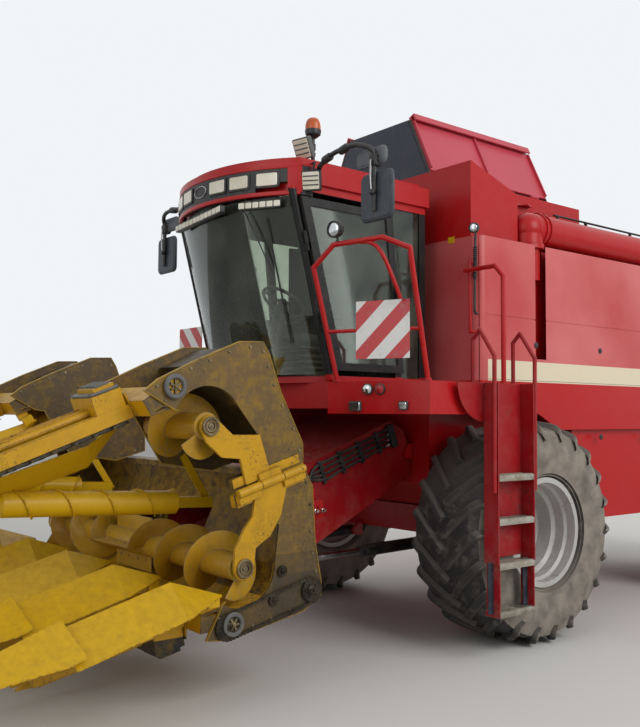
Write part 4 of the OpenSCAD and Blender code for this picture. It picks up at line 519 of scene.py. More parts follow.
strap_rubber = plastic("navy_black_strap_rubber", "161b26", "232a38", 0.6, 300, dust=0.3)
fabric = plastic("seat_cloth", "23262a", "34383d", 0.85, 900, dust=0.1)
lens = plastic("frosted_lamp_lens", "e4dfcf", "cfc7b0", 0.25, 300, dust=0.15)
# Glass: (name, tint, how much film of dust); the cab's side windows are greener than windscreen and door
clear = glass("clear_cab_glass", "f1f5ef", 0.12)
tinted = glass("tinted_cab_glass", "dfe5dc", 0.17)


def board_stripes():
    """Retroreflective sheet: red and white bands near 45 degrees, 100 mm wide, with a honeycomb glint."""
    material, shader = start("retroreflective_stripes", {"Specular IOR Level": 0.5, "Coat Weight": 0.3})
    steepness, both_bands = 1.085, 0.282
    out = add(material, "Math", {0: along(material, "out"), 1: -steepness}, operation="MULTIPLY").outputs[0]
    slope = add(material, "Math", {0: along(material, 2), 1: out}, operation="ADD").outputs[0]
    turn = add(material, "Math", {0: slope, 1: both_bands}, operation="DIVIDE").outputs[0]
    part = add(material, "Math", {0: turn}, operation="FRACT").outputs[0]
    red_band = maths(material, "MULTIPLY", ramp(material, part, 0.0, 0.01), ramp(material, part, 0.51, 0.5))
    base = blend_colour(material, red_band, "dcdad6", "b8141a")
    dirt = ramp(material, noise(material, 14, 6, 0.7), 0.55, 0.75, 0, 0.5)
    material.node_tree.links.new(blend_colour(material, dirt, base, "80766a"), shader.inputs["Base Color"])
    cells = add(material, "TexVoronoi", {"Vector": placed(material), "Scale": 160}).outputs[0]
    material.node_tree.links.new(ramp(material, cells, 0, 0.6, 0.3, 0.5), shader.inputs["Roughness"])
    return material


board = board_stripes()

by_slot = {"red_paint": red, "yellow_paint": yellow, "dark_paint": dark, "black_plastic": black_plastic,
           "black_paint": black_coat, "silver_paint": silver, "bright_steel": bright_steel,
           "worn_steel": worn_steel, "tyre_rubber": rubber, "seat_fabric": fabric, "clear_glass": clear,
           "tinted_glass": tinted, "lamp_plastic": lens, "striped_board": board}
for part in frame["record"]["subparts"]:
    if part["node"] in nodes:
        dress(by_slot[part["material_slot"]], part["node"])
dress(red_side_painted_sunlight, "side_panels_left", "side_panels_right")
dress(blue_grey, "tank_end_panels")
dress(mid_yellow, "header_frame")
dress(wing_yellow, "wing_frame_left", "wing_frame_right")
dress(row_yellow, "row_units")
dress(hood_yellow, "header_hoods", "wing_hood_left", "wing_hood_right")
dress(red_worn, "ladder", "feeder_house", "chassis_frame")
dress(red_cab, "cab_frame")
dress(red_lids_lighter, "tank_cover_left", "tank_cover_right")


# Wheels
def tyre_grids(x, y, r, width, flange, rim_half, lug_h, lugs):
    """A tractor tyre at (x, y): a carcass turned about the axle, and bars that run out and back from the
    middle. A bar's section is a trapezium with rounded top edges, and it sinks away past the shoulder."""
    seat = flange - 0.0297
    tall = r - seat
    crown = r - lug_h
    bead = rim_half - 0.0123
    half = np.array([(seat, bead), (flange + 0.004, bead), (flange + 0.016, 0.455 * width),
                     (flange + 0.024, 0.452 * width), (flange + 0.034, 0.478 * width),
                     (seat + 0.42 * tall, width / 2), (seat + 0.56 * tall, 0.497 * width),
                     (seat + 0.60 * tall, 0.489 * width), (seat + 0.70 * tall, 0.478 * width),
                     (crown - 0.03, 0.44 * width), (crown - 0.006, 0.37 * width), (crown, 0.24 * width),
                     (crown + 0.002, 0.0)])
    hollow = np.array([(seat + 0.80 * tall - lug_h, 0.36 * width), (seat + 0.42 * tall, 0.44 * width),
                       (seat, 0.31 * width)])
    ring = np.vstack([half, (half * [1, -1])[-2::-1], (hollow * [1, -1])[::-1], hollow, half[:1]])
    carcass = turned(ring, (0, 0, 0), Y, 88)
    # A bar from the middle to below the shoulder, drawn flat as (arc, across, radius)
    across = np.array([0.006, 0.10, 0.20, 0.29, 0.37, 0.42, 0.445, 0.462, 0.475]) * width
    top = r - np.array([0, 0, 0.001, 0.004, 0.010, 0.020, 0.036, 0.062, 0.10])
    skin = [crown, crown - 0.006, crown - 0.03, seat + 0.7 * tall]
    root = np.interp(across, [0, 0.37 * width, 0.44 * width, 0.478 * width], skin) - 0.015
    swept = across * (1.05 - 0.25 * across / width)
    profile = np.array([(-0.50, 0), (-0.36, 0.75), (-0.29, 0.95), (-0.2, 1), (0.2, 1), (0.29, 0.95),
                        (0.36, 0.75), (0.5, 0)])
    wide = 0.080 if r > 0.8 else 0.062
    k, h = profile[None, :, 0] * wide * np.linspace(0.92, 1.12, len(across))[:, None], profile[None, :, 1]
    arc_at = swept[:, None] - 0.72 * k
    y_at = across[:, None] + 0.70 * k
    radius = root[:, None] + h * (top - root)[:, None]
    grids = [carcass]
    for i in range(lugs):
        for s in (1, -1):
            turn = (i + (0.5 if s < 0 else 0)) * TAU / lugs
            a = turn + arc_at / r
            bar = np.stack([radius * np.cos(a), s * y_at, radius * np.sin(a)], -1)
            ends = [np.repeat(bar[j].mean(0)[None, None], bar.shape[1], 1) for j in (0, -1)]
            grids.append(np.concatenate([ends[0], bar, ends[1]]))
    return [g + [x, y, r] for g in grids]


def wheel_fasteners(x, y, r, disc, ring_r, count, size):
    """Nuts round the disc, on its outer face."""
    side = 1 if y > 0 else -1
    grids = []
    for i in range(count):
        a = TAU * (i + 0.5) / count
        centre = (x + ring_r * math.cos(a), y + side * disc, r + ring_r * math.sin(a))
        grids += hex_bolt(centre, side * Y, size)
    return grids


# place, x, y, radius, tyre width, rim flange radius, half rim width, bar height, bars a side, disc's face
# from the wheel's middle, radius of the ring of nuts, nuts, and a nut's half width
WHEELS = (("front", 0.0, 1.320, 0.885, 0.740, 0.435, 0.3182, 0.045, 22, -0.028, 0.25, 10, 0.021),
          ("rear", -3.450, 1.290, 0.660, 0.420, 0.330, 0.1806, 0.036, 20, 0.032, 0.20, 8, 0.017))
for place, x, y, r, width, flange, rim_half, lug_h, lugs, disc, ring_r, count, size in WHEELS:
    for side, sign in (("left", 1), ("right", -1)):
        body = f"{place}_wheel_{side}"
        make(f"{place}_tyre_{side}", body, rubber,
             tyre_grids(x, sign * y, r, width, flange, rim_half, lug_h, lugs),
             (f"tyre_{place}_{side}",), slot="tyre_rubber")
        make(f"{place}_wheel_nuts_{side}", body, worn_steel,
             wheel_fasteners(x, sign * y, r, disc, ring_r, count, size))


# Cab: the visor's lamps stand in two groups of three, at one height and at these angles
LAMP_ANGLES, LAMP_HEIGHT = (31.9, 20.6, 10.3, -10.3, -20.6, -31.9), 3.585


def on_visor(angle, width, height, depth, corner):
    """A rounded block standing on the visor's arc at that angle."""
    a, radius = math.radians(angle), 1.242
    out = np.array([math.cos(a), math.sin(a), 0.0])
    origin = np.array([VISOR_MIDDLE, 0, LAMP_HEIGHT]) + radius * out
    along_visor = (-math.sin(a), math.cos(a), 0)
    return slab(rounded(width, height, corner), depth + 0.004, origin, along_visor, Z, 0.004)


def cab_front():
    """Lamps let into the visor, the rim of its oval plate, and its red lips."""
    bezels = [on_visor(a, 0.205, 0.128, 0.008, 0.02) for a in LAMP_ANGLES]
    make("visor_lamp_bezels", "root", black_plastic, bezels, slot="black_plastic")
    lenses = [on_visor(a, 0.170, 0.096, 0.013, 0.012) for a in LAMP_ANGLES]
    make("visor_lamp_lenses", "root", lens, lenses, slot="lamp_plastic")
    a = np.linspace(0, TAU, 33)
    oval = np.stack([0 * a, 0.085 * np.cos(a), 0.045 * np.sin(a)], 1)
    rim = [carried(np.array([VISOR_MIDDLE + 1.248, 0, LAMP_HEIGHT]) + oval, round_profile(0.004, 8))]
    make("visor_oval_rim", "root", bright_steel, rim, slot="bright_steel")
    lips = [carried(arc(1.243, -44, 44, 3.476), rounded(0.020, 0.034, 0.006)),
            carried(arc(1.243, -44, 44, 3.672), rounded(0.018, 0.018, 0.006))]
    ends = [carried(arc(1.244, s * 39.5, s * 44.6, 3.575, steps=8), rounded(0.014, 0.205, 0.005))
            for s in (1, -1)]
    make("visor_red_lips", "root", red, lips + ends, slot="red_paint")


def light_bar(name, start_at, end_at, count):
    """A work light bar between two points: finned housing, a row of square lenses and two bent brackets."""
    p, q = np.array(start_at), np.array(end_at)
    run = unit(q - p)
    ahead = unit(np.cross(run, Z))
    if ahead[0] < 0:
        ahead = -ahead
    long = np.linalg.norm(q - p)
    housing = [slab(rounded(long, 0.062, 0.010), 0.040, (p + q) / 2 - 0.030 * ahead, run, Z, 0.003)]
    steps = np.linspace(0.03, long - 0.03, count * 3)
    housing += [slab([(-0.003, -0.028), (0.003, -0.028), (0.003, 0.028), (-0.003, 0.028)], 0.016,
                     p + run * t - 0.045 * ahead, run, Z, 0.0015) for t in steps]
    for t in (0.12, 0.88):
        foot = p + run * long * t
        bent = [foot - 0.012 * ahead, foot - 0.03 * ahead + 0.03 * Z, foot - 0.04 * ahead + 0.085 * Z]
        housing.append(pipe(bent, 0.006, 8, 3))
    make(name + "_housing", "root", black_plastic, housing, slot="black_plastic")
    cell, proud = long / count, 0.007 * ahead
    pane = rounded(cell * 0.84, 0.044, 0.006)
    faces = [slab(pane, 0.010, p + run * cell * (i + 0.5) + proud, run, Z, 0.003) for i in range(count)]
    make(name + "_lenses", "root", lens, faces, slot="lamp_plastic")


def square_lamp(centre, look, size):
    """A square work lamp: finned back, bars over the lens and a short foot. look is where it shines."""
    look = unit(np.asarray(look, float))
    run = unit(np.cross(Z, look))
    up = np.cross(look, run)
    c = np.asarray(centre, float)
    body = [slab(rounded(size, size, 0.014), 0.045, c - 0.045 * look, run, up, 0.004)]
    fin, rib = rounded(size * 0.86, 0.006, 0.0025, 2), rounded(size * 0.80, size * 0.055, 0.003, 2)
    body += [slab(fin, 0.022, c - 0.066 * look + up * size * k, run, up, 0.001)
             for k in (-0.36, -0.24, -0.12, 0, 0.12, 0.24, 0.36)]
    body.append(pipe([c - 0.02 * look - up * size * 0.5, c - 0.02 * look - up * size * 0.8], 0.007, 8, 2))
    glass_face = [slab(rounded(size * 0.86, size * 0.86, 0.010), 0.006, c, run, up, 0.002)]
    body += [slab(rib, 0.005, c + 0.005 * look + up * size * k, run, up, 0.001) for k in (-0.22, 0.0, 0.22)]
    return body, glass_face


def cab_lamps():
    """Work lamps at the roof's corners, the beacon, the round lamp on the hoop and the fascia lamps."""
    near, near_lens = square_lamp((1.845, 0.925, 3.560), (0.75, 0.60, -0.15), 0.150)
    far, far_lens = square_lamp((1.845, -0.925, 3.560), (0.75, -0.60, -0.15), 0.150)
    high, high_lens = square_lamp((1.800, 0.755, 3.850), (0.80, 0.15, -0.35), 0.165)
    corner_arm = [(1.80, 0.86, 3.70), (1.80, 0.92, 3.71), (1.815, 0.915, 3.66), (1.805, 0.900, 3.56)]
    high_arm = [(1.690, 0.750, 3.885), (1.720, 0.752, 3.885), (1.745, 0.754, 3.872), (1.752, 0.755, 3.862)]
    arms = [pipe(corner_arm, 0.008, 8, 4)]
    arms += mirrored(arms)
    arms.append(pipe(high_arm, 0.010, 10, 4))
    make("work_lamp_housings", "root", black_plastic, near + far + arms, slot="black_plastic")
    make("beacon_lamp_housing", "root", gear_grey, high, slot="dark_paint")
    make("work_lamp_lenses", "root", lens, near_lens + far_lens + high_lens, slot="lamp_plastic")
    beacon = (1.690, 0.750, 3.759)
    base = [turned([(0, 0), (0.034, 0), (0.034, 0.006), (0.018, 0.012), (0.015, 0.05), (0.015, 0.10),
                    (0.022, 0.105), (0.022, 0.15), (0.015, 0.155), (0.015, 0.190), (0.026, 0.196),
                    (0.058, 0.222), (0.064, 0.250), (0.062, 0.262), (0, 0.262)], beacon, Z)]
    make("beacon_base", "root", black_plastic, base, ("work_lamps",), slot="black_plastic")
    t = np.linspace(0, TAU / 4, 9)
    dome = np.stack([0.061 * np.cos(t) ** 0.6, 0.282 + 0.075 * np.sin(t)], 1)
    dome = np.vstack([(0, 0.258), (0.060, 0.258), dome])
    dome[-1, 0] = 0
    make("beacon_dome", "root", amber, [turned(dome, beacon, Z)], slot="lamp_plastic")
    # Round lamp on the guard hoop
    look = unit(np.array([0.985, 0.12, -0.06]))
    hub = np.array([1.7713, 1.153, 3.160])
    can = [turned([(0, -0.030), (0.030, -0.030), (0.050, -0.012), (0.060, 0.018), (0.063, 0.030),
                   (0.063, 0.050), (0.057, 0.052), (0.054, 0.042), (0, 0.040)], hub, look),
           turned([(0, 0), (0.012, 0), (0.012, 0.014), (0.009, 0.016), (0.009, 0.040), (0, 0.040)],
                  hub - (0, 0, 0.0865), Z, 16)]
    make("hoop_lamp_can", "root", black_plastic, can, slot="black_plastic")
    t = np.linspace(0, TAU / 4, 7)
    bulge = np.stack([0.054 * np.cos(t), 0.040 + 0.014 * np.sin(t)], 1)
    bulge = np.vstack([(0, 0.039), bulge[:-1], (0, 0.054)])
    make("hoop_lamp_lens", "root", headlamp, [turned(bulge, hub, look)], slot="lamp_plastic")
    # Lamps on the slanting fascia: (distance from its inner end, height, half width, half height)
    inner, outer = np.array([1.610, 0.950, 0]), np.array([1.330, 1.660, 0])
    run = unit(outer - inner)
    out = np.array([run[1], -run[0], 0])
    rims, faces, rounds = [], [], []
    for along_it, z, w, h in ((0.170, 1.875, 0.045, 0.032), (0.560, 1.880, 0.030, 0.026)):
        c = inner + run * along_it + (0, 0, z)
        rims.append(slab(rounded(2 * w + 0.012, 2 * h + 0.012, 0.012), 0.024, c, run, Z, 0.003))
        pane = rounded(2 * w - 0.004, 2 * h - 0.004, 0.010)
        faces.append(slab(pane, 0.012, c + 0.020 * out, run, Z, 0.003))
    round_rim = [(0, -0.004), (0.042, -0.004), (0.042, 0.014), (0.037, 0.018), (0, 0.016)]
    round_lens = [(0, 0.012), (0.034, 0.012), (0.034, 0.018), (0.022, 0.026), (0, 0.029)]
    for along_it in (0.270, 0.370):
        c = inner + run * along_it + (0, 0, 2.000)
        rims.append(turned(round_rim, c, out, 28))
        rounds.append(turned(round_lens, c, out, 28))
    make("fascia_lamp_rims", "root", black_plastic, rims, slot="black_plastic")
    make("fascia_lamp_lenses", "root", headlamp, faces + rounds[:1], slot="lamp_plastic")
    make("fascia_stop_lens", "root", red_lens, rounds[1:], slot="lamp_plastic")


# How far out the mirrors' rod hangs
MIRROR_Y = 1.515


def mirror_set():
    """Both sides' mirrors: rounded shells with a rim, the glass set in, the swan-neck arm, rod and ball."""
    shells, glasses, wide = [], [], []
    for y, z, w, h in ((MIRROR_Y, 3.350, 0.165, 0.175), (MIRROR_Y - 0.060, 3.640, 0.155, 0.066)):
        c = np.array([1.690, y, z])
        shell = [slab(rounded(2 * w, 2 * h, 0.045), 0.034, c, Y, Z, 0.010),
                 slab(rounded(2 * w - 0.03, 2 * h - 0.03, 0.035), 0.012, c + (0.028, 0, 0), Y, Z, 0.006)]
        (shells if h > 0.1 else wide).extend(shell)
        pane = rounded(2 * w - 0.024, 2 * h - 0.024, 0.036)
        glasses.append(slab(pane, 0.004, c - (0.002, 0, 0), Y, Z, 0.001))
    arm = [pipe([(1.760, 0.884, 3.640), (1.760, 0.915, 3.645), (1.780, 0.960, 3.680), (1.800, 1.130, 3.725),
                 (1.800, 1.344, 3.735), (1.790, 1.440, 3.715), (1.760, MIRROR_Y - 0.010, 3.680),
                 (1.742, MIRROR_Y, 3.600), (1.741, MIRROR_Y, 3.240)], 0.0185, 12, 6)]
    # Folding joints along the arm, and the clamp that holds both mirrors
    knuckle = [(0, -0.045), (0.026, -0.045), (0.030, -0.035), (0.030, 0.035), (0.026, 0.045), (0, 0.045)]
    arm += [turned(knuckle, (1.795, y, z), (0.05, 1, 0.18), 14) for y, z in ((1.060, 3.708), (1.250, 3.733))]
    arm.append(slab(rounded(0.075, 0.085, 0.012), 0.070, (1.727, MIRROR_Y + 0.036, 3.600), X, Z, 0.008))
    arm.append(slab(rounded(0.070, 0.060, 0.008), 0.008, (1.760, 0.888, 3.642), -X, Z, 0.002))
    rod = [(1.772, MIRROR_Y, 3.600), (1.775, MIRROR_Y, 3.500), (1.766, MIRROR_Y, 3.392)]
    rods = [pipe(rod, 0.007, 10, 3)]
    t = np.linspace(0, TAU / 2, 11)
    arm.append(turned(np.stack([0.026 * np.sin(t), -0.026 * np.cos(t)], 1), (1.752, MIRROR_Y, 3.372), Z, 20))
    link = [(1.741, MIRROR_Y, 3.575), (1.730, MIRROR_Y - 0.02, 3.610), (1.722, MIRROR_Y - 0.04, 3.640)]
    arm.append(pipe(link, 0.010, 10, 3))
    make("mirror_shells", "root", mirror_back, shells + mirrored(shells), ("mirrors",), slot="black_plastic")
    make("mirror_shells_wide", "root", grey_plastic, wide + mirrored(wide), slot="black_plastic")
    make("mirror_arms", "root", black_plastic, arm + mirrored(arm), slot="black_plastic")
    make("mirror_glass", "root", mirror_glass, glasses + mirrored(glasses), slot="clear_glass")
    make("mirror_rods", "root", bright_steel, rods + mirrored(rods), slot="bright_steel")


def wiper():
    """The windscreen's long wiper, parked at the left post, and its arm."""
    bend, crown, lean = 1.6728, 0.232, math.radians(14.9)

    def on_glass(y, z, off):
        """A place off the glass, which leans forward and is bent on that radius, its crown in the middle."""
        forward = crown - (bend - math.sqrt(bend * bend - y * y))
        return (1.552 + (z - 2.060) * math.tan(lean) + forward / math.cos(lean) + off, y, z)
    line = [on_glass(0.60, z, 0.012) for z in (2.36, 2.6, 2.85, 3.10, 3.3)]
    arm = [on_glass(0.42, 3.42, 0.03), on_glass(0.50, 3.2, 0.04), on_glass(0.585, 2.85, 0.028)]
    grids = [carried(smooth(line, 6), rounded(0.010, 0.016, 0.003)),
             carried(smooth(arm, 6), rounded(0.014, 0.008, 0.002))]
    make("wiper", "root", black_plastic, grids, slot="black_plastic")


cab_front()
light_bar("left_light_bar", (2.178, 0.455, 3.395), (2.003, 0.765, 3.395), 6)
light_bar("right_light_bar", (2.130, -0.580, 3.395), (2.248, 0.320, 3.395), 12)
cab_lamps()
mirror_set()
wiper()


# Cab inside
def cushion(name, low, high, crown, lean=0.0, pivot=(0, 0, 0), channels=()):
    """A stuffed pad: a box whose faces swell by crown * (1 - u^2)(1 - v^2), whose sides pull in between the
    corners, with sewn channels pressed in across it. Cloth under pressure settles it, and it leans about the
    pivot."""
    low, high = np.array(low, float), np.array(high, float)
    n = 25
    u, v = np.meshgrid(np.linspace(-1, 1, n), np.linspace(-1, 1, n), indexing="ij")
    soft = np.sign(u) * np.abs(u) ** 0.92, np.sign(v) * np.abs(v) ** 0.92
    thin = int(np.argmin(high - low))
    wide = [i for i in range(3) if i != thin]
    half, mid = (high - low) / 2, (high + low) / 2
    dome = (1 - u ** 2) * (1 - v ** 2)
    swell = crown * dome
    for where, deep in channels:
        swell = swell - deep * np.exp(-((u - where) / 0.05) ** 2) * (1 - v ** 8)
    larger, smaller = np.maximum(np.abs(u), np.abs(v)), np.minimum(np.abs(u), np.abs(v))
    rim = 1 - 0.5 * larger ** 10
    pull = 1 - 0.03 * (1 - smaller ** 2) * larger ** 6
    faces = []
    for s, bulge in ((-1, 0.3 * crown * dome), (1, swell)):
        face = np.zeros((n, n, 3))
        face[..., wide[0]] = mid[wide[0]] + half[wide[0]] * soft[0] * pull
        face[..., wide[1]] = mid[wide[1]] + half[wide[1]] * soft[1] * pull
        face[..., thin] = mid[thin] + s * (half[thin] * rim + bulge - crown)
        faces.append(face)
    edge = [(i, 0) for i in range(n - 1)] + [(n - 1, j) for j in range(n - 1)]
    edge += [(i, n - 1) for i in range(n - 1, 0, -1)] + [(0, j) for j in range(n - 1, 0, -1)]
    points = np.concatenate([f.reshape(-1, 3) for f in faces])
    k = np.arange(n * n).reshape(n, n)
    quads = [np.stack([k[:-1, :-1], k[1:, :-1], k[1:, 1:], k[:-1, 1:]], -1).reshape(-1, 4)]
    quads.append(quads[0][:, ::-1] + n * n)
    ring = np.array([k[i, j] for i, j in edge])
    after = np.roll(ring, -1)
    quads.append(np.stack([ring, after, after + n * n, ring + n * n], -1))
    turn = np.array(Matrix.Rotation(lean, 3, "Y"))
    points = (points - pivot) @ turn.T + pivot
    mesh = bpy.data.meshes.new(name)
    mesh.from_pydata((points + [AXLE, 0, 0]).tolist(), [], np.concatenate(quads).tolist())
    shell = bmesh.new()
    shell.from_mesh(mesh)
    bmesh.ops.recalc_face_normals(shell, faces=shell.faces)
    shell.to_mesh(mesh)
    shell.free()
    pad = bpy.data.objects.new(name, mesh)
    bpy.context.scene.collection.objects.link(pad)
    mesh.materials.append(fabric)
    mesh.shade_smooth()
    settle(pad, crown)
    rounder = pad.modifiers.new("round", "SUBSURF")
    rounder.levels = rounder.render_levels = 1
    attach(pad, "root")


def settle(pad, most):
    """Blows the cover up a little with Blender's cloth, so that it wrinkles and crowns. No point moves
    further than 0.6 of most."""
    scene = bpy.context.scene
    before = np.zeros(len(pad.data.vertices) * 3, np.float32)
    pad.data.vertices.foreach_get("co", before)
    cloth = pad.modifiers.new("cloth", "CLOTH")
    cloth.settings.use_pressure = True
    cloth.settings.uniform_pressure_force = 3.0
    cloth.settings.effector_weights.gravity = 0
    cloth.settings.quality = 4
    cloth.point_cache.frame_start, cloth.point_cache.frame_end = 1, 12
    for step in range(1, 13):
        scene.frame_set(step)
    shown = pad.evaluated_get(bpy.context.evaluated_depsgraph_get()).to_mesh()
    after = np.zeros_like(before)
    shown.vertices.foreach_get("co", after)
    move = (after - before).reshape(-1, 3)
    far = np.linalg.norm(move, axis=1, keepdims=True)
    move = move * np.minimum(1, 0.6 * most / np.maximum(far, 1e-9))
    pad.modifiers.remove(cloth)
    scene.frame_set(1)
    pad.data.vertices.foreach_set("co", (before.reshape(-1, 3) + move).ravel())
    pad.data.update()


def seat_frame():
    """Suspension base with its bellows, the pan over it, and the armrests on their brackets."""
    grids = [block((0.98, -0.18, 2.110), (1.32, 0.18, 2.150), 0.01)]
    t = np.linspace(0, 1, 33)
    ripple = 0.012 * np.cos(t * TAU * 4)
    ring_x, ring_y = rounded(2, 2, 0.3).T
    rows = [np.stack([1.15 + (0.155 + r) * ring_x, (0.165 + r) * ring_y, 2.15 + 0.20 * k + 0 * ring_x], 1)
            for k, r in zip(t, ripple)]
    rows = [rows[0] * [0, 0, 1] + [1.15, 0, 0]] + rows + [rows[-1] * [0, 0, 1] + [1.15, 0, 0]]
    grids.append(np.stack(rows))
    grids.append(block((0.915, -0.245, 2.352), (1.405, 0.245, 2.382), 0.012))
    for s in (-1, 1):
        grids.append(slab(rounded(0.36, 0.055, 0.025), 0.05, (1.155, s * 0.29 + 0.025, 2.67), X, Z, 0.012))
        bracket = [(1.0, s * 0.275, 2.40), (0.99, s * 0.28, 2.50), (1.0, s * 0.29, 2.66)]
        grids.append(pipe(bracket, 0.012, 10, 4))
    return grids


def cab_inside():
    """Seat, steering wheel, console with its levers, monitor and the lining under the roof."""
    make("seat_base", "root", black_plastic, seat_frame(), ("seat",), slot="black_plastic")
    lean = math.radians(-10)
    cushion("seat_cushion", (0.915, -0.245, 2.382), (1.405, 0.245, 2.496), 0.016,
            channels=((-0.5, 0.010), (0.05, 0.010), (0.55, 0.010)))
    cushion("seat_backrest", (0.860, -0.235, 2.500), (0.975, 0.235, 3.120), 0.016, lean, (0.92, 0, 2.495),
            channels=((-0.2, 0.012), (0.35, 0.012)))
    cushion("seat_headrest", (0.775, -0.135, 3.130), (0.860, 0.135, 3.290), 0.012, lean, (0.82, 0, 3.118))
    # Steering wheel on its tilted hub
    tilt = math.radians(35)
    axis = np.array([-math.sin(tilt), 0, math.cos(tilt)])
    hub = np.array([1.425, 0, 2.750])
    e = np.array([math.cos(tilt), 0, math.sin(tilt)])
    a = np.linspace(0, TAU, 49)[:, None]
    rim_line = hub + axis * 0.020 + 0.195 * (np.cos(a) * e + np.sin(a) * Y)
    boss = [(0, -0.03), (0.030, -0.03), (0.042, 0.0), (0.048, 0.026), (0.040, 0.036), (0, 0.038)]
    parts = [carried(rim_line, round_profile(0.0145, 12)), turned(boss, hub, axis, 24)]
    for turn in (90, 210, 330):
        k = math.radians(turn)
        tip = hub + axis * 0.020 + 0.190 * (math.cos(k) * e + math.sin(k) * Y)
        spoke = smooth([hub + axis * 0.012, (hub + tip) / 2 + axis * 0.004, tip], 4)
        parts.append(carried(spoke, rounded(0.024, 0.010, 0.003)))
    column = smooth([(1.558, 0, 2.112), (1.50, 0, 2.42), (1.43, 0, 2.735)], 5)
    parts.append(carried(column, rounded(0.085, 0.11, 0.02)))
    parts.append(block((1.44, -0.06, 2.66), (1.475, 0.06, 2.74), 0.008))
    parts.append(turned([(0, 0), (0.09, 0), (0.08, 0.02), (0.06, 0.03), (0, 0.03)], (1.56, 0, 2.110), Z, 20))
    # Console, monitor and levers on the right
    parts.append(slab(rounded(0.575, 0.255, 0.05), 0.505, (1.190, -0.490, 2.112), X, Y, 0.02))
    parts.append(slab([(0, 0), (0.5, 0), (0.47, 0.05), (0.05, 0.02)], 0.22, (0.93, -0.38, 2.612), X, Z, 0.01))
    t = np.linspace(0, TAU / 2, 7)
    knob = np.stack([0.016 * np.sin(t), -0.02 * np.cos(t)], 1)
    for x in (1.02, 1.10, 1.18):
        parts.append(pipe([(x, -0.42, 2.61), (x + 0.01, -0.42, 2.69), (x + 0.03, -0.42, 2.73)], 0.006, 8, 3))
        parts.append(turned(knob, (x + 0.035, -0.42, 2.745), Z, 12))
    screen_arm = smooth([(1.42, -0.58, 2.60), (1.42, -0.58, 2.80), (1.41, -0.57, 2.96)], 4)
    parts.append(carried(screen_arm, rounded(0.03, 0.03, 0.008)))
    parts.append(slab(rounded(0.255, 0.175, 0.018), 0.042, (1.388, -0.570, 3.050), Y, Z, 0.008))
    make("cab_fittings", "root", black_plastic, parts, ("cab_controls",), slot="black_plastic")
    screen = slab(rounded(0.215, 0.135, 0.006), 0.003, (1.386, -0.570, 3.052), -Y, Z, 0.001)
    make("monitor_screen", "root", dark_screen, [screen], slot="clear_glass")
    lining = [slab([(0, 0), (1.0, 0), (1.30, 0.35), (1.38, 0.76), (1.30, 1.17), (1.0, 1.52), (0, 1.52)], 0.05,
                   (0.62, -0.76, 3.440), X, Y, 0.02)]
    for y in (-0.45, 0.45):
        lining.append(turned([(0, 0), (0.06, 0), (0.05, -0.012), (0, -0.014)], (1.0, y, 3.442), Z, 20))
    lining.append(slab(rounded(0.03, 0.20, 0.01), 0.30, (1.86, -0.15, 3.36), X, Z, 0.01))
    make("cab_lining", "root", lining_cloth, lining, slot="black_plastic")
    # Padded rear wall with its ribs, dark side trims along the posts
    trims = [block((0.602, -0.76, 2.115), (0.625, 0.76, 2.740), 0.008)]
    for y in np.linspace(-0.66, 0.66, 9):
        trims.append(block((0.622, y - 0.02, 2.16), (0.640, y + 0.02, 2.70), 0.006))
    for s in (-1, 1):
        trims.append(block((0.645, s * 0.745 - 0.012, 2.120), (0.80, s * 0.745 + 0.012, 3.42), 0.008))
    make("cab_trims", "root", lining_cloth, trims, slot="black_plastic")


cab_inside()


# Ladder and platform
def ladder_parts():
    """Ribbed step treads, rubber straps of the lowest step, bolts of the stringers."""
    treads, straps, bolts = [], [], []
    for z in (0.385, 0.730, 1.050, 1.370):
        y0 = 1.716 if z > 0.5 else 1.706
        treads.append(block((0.402, y0, z - 0.038), (0.798, 1.841, z + 0.003), 0.003))
        for y in np.linspace(y0 + 0.018, 1.828, 5):
            treads.append(block((0.410, y - 0.005, z), (0.790, y + 0.005, z + 0.010), 0.002))
    for x in (0.395, 0.789):
        hang = [(x + 0.008, 1.775, 0.372), (x + 0.004, 1.775, 0.50), (x + 0.010, 1.775, 0.62),
                (x + 0.008, 1.775, 0.745)]
        straps.append(carried(smooth(hang, 5), rounded(0.118, 0.012, 0.004)))
    for z in (0.80, 0.98, 1.14, 1.30, 1.46, 1.62, 1.78, 1.94):
        for y in (1.722, 1.822):
            bolts += hex_bolt((0.812, y, z), X, 0.008)
    for z, y in ((0.70, 1.73), (0.70, 1.81), (0.42, 1.73), (0.42, 1.81)):
        bolts += hex_bolt((0.804, y, z), X, 0.008)
    make("ladder_treads", "root", tread_metal, treads, slot="worn_steel")
    make("ladder_straps", "root", strap_rubber, straps, slot="tyre_rubber")
    make("ladder_bolts", "root", red_worn, bolts, slot="red_paint")


